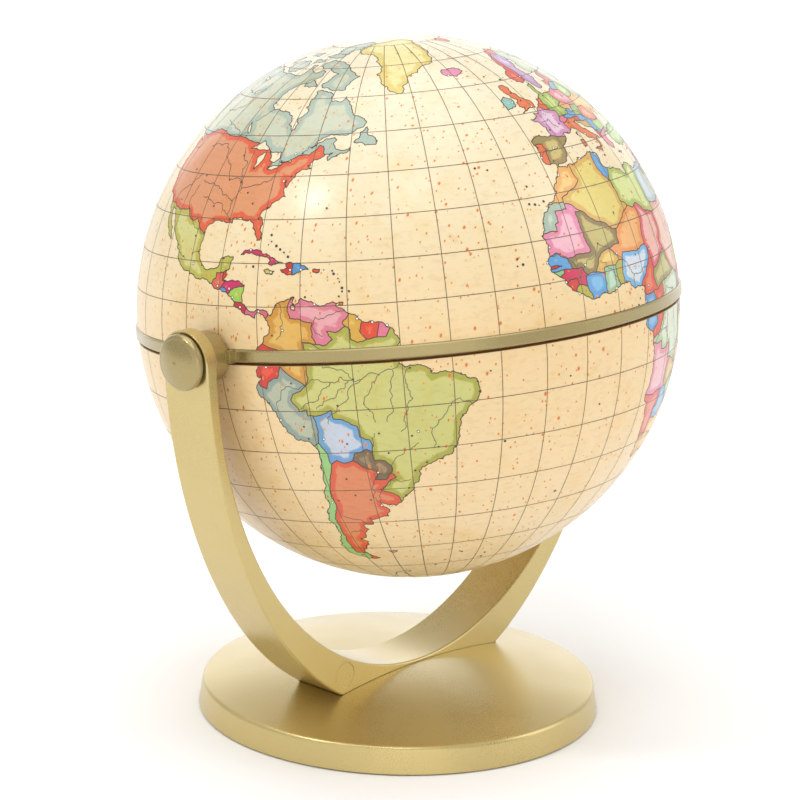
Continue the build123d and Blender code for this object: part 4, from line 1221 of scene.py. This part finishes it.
def printed_paper():
    """Glossy printed sheet: the map's own colours, with orange flecks and a faint mottle."""
    shader = Shader("map_print", Roughness=0.33, Coat_Weight=0.3, Coat_Roughness=0.2, IOR=1.47)
    fill = shader.node("ShaderNodeVertexColor", layer_name="fill").outputs
    edge = shader.node("ShaderNodeVertexColor", layer_name="edge").outputs["Color"]
    wander = shader.maths("SUBTRACT", shader.noise(420, 3, 0.6), 0.5)
    inland = shader.maths("ADD", fill["Alpha"], shader.maths("MULTIPLY", wander, BAND_WANDER / FAR_INLAND))
    band = shader.mask(inland, (BAND + BAND_BLUR) / FAR_INLAND, (BAND - BAND_BLUR) / FAR_INLAND)
    colour = shader.mix(shader.maths("MULTIPLY", band, 0.9), fill["Color"], edge)
    colour = shader.mix(1.0, colour, (PRINT_ALBEDO, PRINT_ALBEDO, PRINT_ALBEDO, 1), "MULTIPLY")
    mottle = shader.noise(150, 4, 0.6)
    colour = shader.mix(shader.mask(mottle, 0.5, 1.0), colour, srgb(250, 234, 192), "MULTIPLY")
    strokes = shader.noise(500, 3, 0.65, stretch=(1, 1, 2.4))
    colour = shader.mix(shader.mask(strokes, 0.5, 1.1), colour, srgb(228, 218, 202), "MULTIPLY")
    where = shader.mapping(Rotation=(0.5, 0.4, 0.3), Scale=(1, 1.5, 0.8))
    for scale, size, share in FLECKS:
        cells = shader.node("ShaderNodeTexVoronoi", {"Vector": where, "Scale": scale})
        kept = shader.node("ShaderNodeSeparateColor", {"Color": cells.outputs["Color"]}).outputs
        chosen = shader.mask(kept["Red"], share + 0.01, share)
        reach = shader.maths("MULTIPLY", shader.mask(kept["Green"], -1.0, 1.0), size)
        close = shader.maths("DIVIDE", cells.outputs["Distance"], reach)
        halo = shader.maths("MULTIPLY", shader.mask(close, 1.1, 0.6), chosen)
        core = shader.maths("MULTIPLY", shader.mask(close, 0.8, 0.55), chosen)
        colour = shader.mix(shader.maths("MULTIPLY", halo, 0.55), colour, srgb(232, 184, 92))
        colour = shader.mix(shader.maths("MULTIPLY", core, 0.85), colour, srgb(206, 92, 34))
    shader.colour(colour)
    shader.normal(shader.bump(shader.noise(900, 2), 0.003 * MM, None, 0.25))
    return shader.material


def ink(name, colour):
    """Printing ink: one even colour with an uneven sheen."""
    shader = Shader(name, Base_Color=colour, Coat_Weight=0.3, Coat_Roughness=0.16)
    shader.roughness(shader.mask(shader.noise(900, 2), -0.6, 2.2))
    return shader.material


def moulded(name, dark, light, scale, rough_low, rough_high, metallic=0.0, depth=0.02 * MM):
    """Moulded, turned or rolled stock with a mottled tone and a fine grain."""
    shader = Shader(name, Metallic=metallic)
    tone = shader.noise(scale * 0.2, 3)
    grain = shader.noise(scale, 3, 0.6)
    shader.colour(shader.ramp(shader.mix(0.5, tone, grain), (0.3, srgb(*dark)), (0.7, srgb(*light))))
    spread = rough_high - rough_low
    shader.roughness(shader.mask(grain, -rough_low / spread, (1 - rough_low) / spread))
    shader.normal(shader.bump(grain, depth, None, 0.4))
    return shader.material


# Slot name, dark and light tone, grain per metre, least and most roughness, metallic, grain depth.
STOCK = (
    ("shell_plastic", (206, 152, 82), (224, 172, 98), 900, 0.4, 0.6),
    ("ballast_steel", (110, 112, 116), (150, 152, 156), 1500, 0.3, 0.5, 1.0),
    ("black_plastic", (20, 20, 21), (34, 34, 36), 2200, 0.45, 0.6),
    ("pad_rubber", (30, 30, 31), (48, 48, 48), 3500, 0.7, 0.9, 0.0, 0.05 * MM),
    ("screw_steel", (150, 150, 152), (190, 190, 190), 2500, 0.25, 0.4, 1.0),
    ("nylon", (196, 194, 186), (216, 214, 208), 1800, 0.4, 0.55),
    ("insert_brass", (176, 142, 76), (206, 172, 98), 2500, 0.3, 0.45, 1.0),
)


def dress_cad():
    """Gives every CAD node but the map the finish of its own material slot; ring and caps get a darker copy of the
    stand's gold, as painted shade.
    """
    finishes = {"gold_paint": gold_paint("gold_paint_stand", 1.0)}
    for name, *tones in STOCK:
        finishes[name] = moulded(name, *tones)
    for part in frame["record"]["subparts"]:
        mesh = nodes[part["node"]].data
        finish = finishes.get(mesh.materials[0].name)
        if finish:
            mesh.materials[0] = finish
    # painted shade: the ring and caps get the same gold, darkened
    shaded_gold = gold_paint("gold_paint_fittings_painted_shade", FITTINGS_PAINTED_SHADE)
    for name in ("equator_ring", "pivot_cap_left", "pivot_cap_right"):
        nodes[name].data.materials[0] = shaded_gold


# ---- the printed sheets and their ink -----------------------------------------------
def make_sheets(printed, paper):
    """Eight pieces of printed sheet: each half of the ball in four quarters."""
    distance = printed.inland()
    pieces = []
    for south, replaced in ((False, "north_map"), (True, "south_map")):
        way = [half_direction(vert, south) for vert in printed.verts]
        for quarter in range(4):
            chosen, fills, edges = [], [], []
            for index, face in enumerate(printed.faces):
                middle = sum(printed.corners(index), Vector((0, 0))) / len(face)
                if (middle.y < 0) != south or int((middle.x - SEAM) // 90) != quarter:
                    continue
                # at a pole a triangle's corners can fall together
                if len({tuple(round(value, 6) for value in way[corner]) for corner in face}) < 3:
                    continue
                chosen.append(face)
                for corner in face:
                    fill, edge = printed_colours(printed.country[index], printed.verts[corner].y)
                    fills.append(srgb(*fill)[:3] + (min(1, distance[corner] / FAR_INLAND),))
                    edges.append(srgb(*edge))
            piece = sheet_mesh("%s_sheet_%d" % (replaced, quarter), way, chosen, (fills, edges), paper)
            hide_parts(replaced)
            pieces.append(piece)
    return pieces


def make_coasts(printed, material):
    coast = Ink(INK_DEPTH)
    for edge in printed.inked:
        a, b = (printed.verts[corner] for corner in edge)
        south = (a.y + b.y) < 0
        coast.stroke(half_direction(a, south), half_direction(b, south), COAST_WIDTH)
    return coast.piece("ink_coasts", material)


def make_graticule(material):
    grid = Ink(GRID_DEPTH)
    for south, latitudes in ((False, range(0, 81, 2)), (True, range(0, -81, -2))):
        for longitude in range(-170, 190, GRID_STEP):
            grid.route([half_direction((longitude, latitude), south) for latitude in latitudes], GRID_WIDTH)
    for latitude in range(-80, 81, GRID_STEP):
        if latitude:
            grid.route([direction(longitude, latitude) for longitude in range(-180, 181, 2)], GRID_WIDTH)
    return grid.piece("ink_graticule", material)


def make_rivers(material):
    """Rivers, except for any stroke that would cross the ring."""
    water = Ink(INK_DEPTH)
    for row in rows(RIVERS):
        line = roughened(points(row), *RIVER_ROUGH)
        for a, b in zip(line, line[1:]):
            if a[1] * b[1] > 0:
                water.stroke(direction(*a), direction(*b), RIVER_WIDTH)
    return water.piece("ink_rivers", material)


def make_symbols(brown, white):
    """Dots for towns and islets, and white-filled rings for capitals."""
    dots, rings, fills = Ink(SYMBOL_DEPTH), Ink(SYMBOL_DEPTH), Ink(FILL_DEPTH)
    for place in points(TOWNS):
        dots.dot(place, TOWN_RADIUS)
    for place in points(ISLETS):
        dots.dot(place, rng.uniform(*ISLET_RADII) * MM, sides=7)
    for place in points(CAPITALS):
        rings.ring(place, *CAPITAL_RADII)
        fills.dot(place, CAPITAL_FILL)
    return [dots.piece("ink_towns", brown), rings.piece("ink_capitals", brown),
            fills.piece("ink_capital_fills", white)]


def make_rim(name, rim, material, count=240):
    """The cut edge of a printed sheet, beside the ring."""
    verts, faces = [], []
    for k in range(count):
        out = on_ball(360 * k / count, rim)
        verts += [ball_centre + out * (ball_radius - depth) for depth in (SHEET_DEPTH, SHEET_THICKNESS)]
        after = (k + 1) % count
        faces.append((2 * k, 2 * k + 1, 2 * after + 1, 2 * after))
    mesh = bpy.data.meshes.new(name)
    mesh.from_pydata(verts, [], faces)
    mesh.shade_smooth()
    mesh.materials.append(material)
    return placed(name, mesh)


def make_print():
    paper = printed_paper()
    brown = ink("ink_brown", srgb(66, 50, 38))
    grid_brown = ink("ink_grid", srgb(108, 84, 58))
    river_grey = ink("ink_river", srgb(84, 76, 66))
    white = ink("ink_white", srgb(250, 246, 236))
    printed = PrintedMap()
    pieces = make_sheets(printed, paper)
    pieces.append(make_coasts(printed, brown))
    pieces.append(make_graticule(grid_brown))
    pieces.append(make_rivers(river_grey))
    pieces += make_symbols(brown, white)
    pieces.append(make_rim("north_map_edge", NORTH_RIM, white))
    pieces.append(make_rim("south_map_edge", -SOUTH_RIM, white))
    for piece in pieces:
        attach(piece, "globe")


# ---- floor, lights and camera ---------------------------------------------------------
FLOOR_REACH = 8.0              # from the middle to each side, metres
WORLD_STRENGTH = 0.66
# Softboxes: direction from the ball, distance, width and height in metres, power in watts.
LIGHTS = (
    ("key_softbox", (-0.631, 0.225, 0.742), 1.3, 0.2, 0.2, 3, "DISK"),
    ("top_softbox", (0.1, 0.2, 1.0), 1.5, 1.4, 1.4, 8.5, "RECTANGLE"),
    ("front_high_softbox", (-0.345, -0.319, 0.883), 1.5, 0.5, 0.5, 2.4, "RECTANGLE"),
    ("right_softbox", (0.75, -0.75, 0.5), 1.6, 0.9, 1.2, 5, "RECTANGLE"),
    ("back_panel", (0.74, 0.68, 0.22), 1.7, 2.2, 0.8, 5, "RECTANGLE"),
    ("left_softbox", (-1.0, -0.25, 0.35), 1.6, 0.6, 1.2, 0.8, "RECTANGLE"),
    ("front_softbox", (-0.62, -0.76, 0.12), 1.9, 1.6, 1.2, 5.5, "RECTANGLE"),
)
CAMERA_AZIMUTH = radians(-47.32)
CAMERA_RISE = radians(16.17)
CAMERA_ROLL = radians(1.5)
CAMERA_DISTANCE = 0.74943      # metres
CAMERA_LENS = 171.36           # millimetres
CAMERA_SHIFT = -0.00115        # the aim, to the right of the origin, metres
CAMERA_AIM = 0.06335           # the aim's height, metres


def make_floor():
    mesh = bpy.data.meshes.new("studio_floor")
    corners = [(x * FLOOR_REACH, y * FLOOR_REACH, 0) for x, y in ((-1, -1), (1, -1), (1, 1), (-1, 1))]
    mesh.from_pydata(corners, [], [(0, 1, 2, 3)])
    shader = Shader("studio_floor", Roughness=0.9)
    shader.colour(shader.ramp(shader.noise(3, 2), (0.3, srgb(250, 250, 250)), (0.7, srgb(253, 253, 253))))
    mesh.materials.append(shader.material)
    made = placed("studio_floor", mesh)


def softbox(name, towards, distance, width, height, power, shape):
    """Area light in a direction from the ball, facing it."""
    light = bpy.data.lights.new(name, "AREA")
    light.shape = shape
    light.size = width
    light.size_y = height
    light.energy = power
    made = placed(name, light)
    made.location = ball_centre + Vector(towards).normalized() * distance
    made.rotation_euler = Vector(towards).to_track_quat("Z", "Y").to_euler()


def make_lights():
    world = bpy.data.worlds.new("studio")
    world.use_nodes = True
    sky = world.node_tree.nodes["Background"]
    sky.inputs["Color"].default_value = (1, 1, 1, 1)
    sky.inputs["Strength"].default_value = WORLD_STRENGTH
    bpy.context.scene.world = world
    for light in LIGHTS:
        softbox(*light)


def make_camera():
    """The photograph's camera: a long lens, a little above the globe and slightly rolled."""
    right = Vector((cos(CAMERA_AZIMUTH), sin(CAMERA_AZIMUTH), 0))
    back = Vector((sin(CAMERA_AZIMUTH) * cos(CAMERA_RISE),
                   -cos(CAMERA_AZIMUTH) * cos(CAMERA_RISE),
                   sin(CAMERA_RISE)))
    up = back.cross(right)
    target = right * CAMERA_SHIFT + Vector((0, 0, CAMERA_AIM))
    rolled_right = right * cos(CAMERA_ROLL) + up * sin(CAMERA_ROLL)
    rolled_up = up * cos(CAMERA_ROLL) - right * sin(CAMERA_ROLL)
    lens = bpy.data.cameras.new("camera")
    lens.lens = CAMERA_LENS
    camera = placed("camera", lens)
    turn = Matrix((rolled_right, rolled_up, back)).transposed().to_4x4()
    camera.matrix_world = Matrix.Translation(target + back * CAMERA_DISTANCE) @ turn
    bpy.context.scene.camera = camera
    bpy.context.scene.view_settings.view_transform = "Standard"


make_camera()
make_floor()
make_lights()
dress_cad()
make_print()
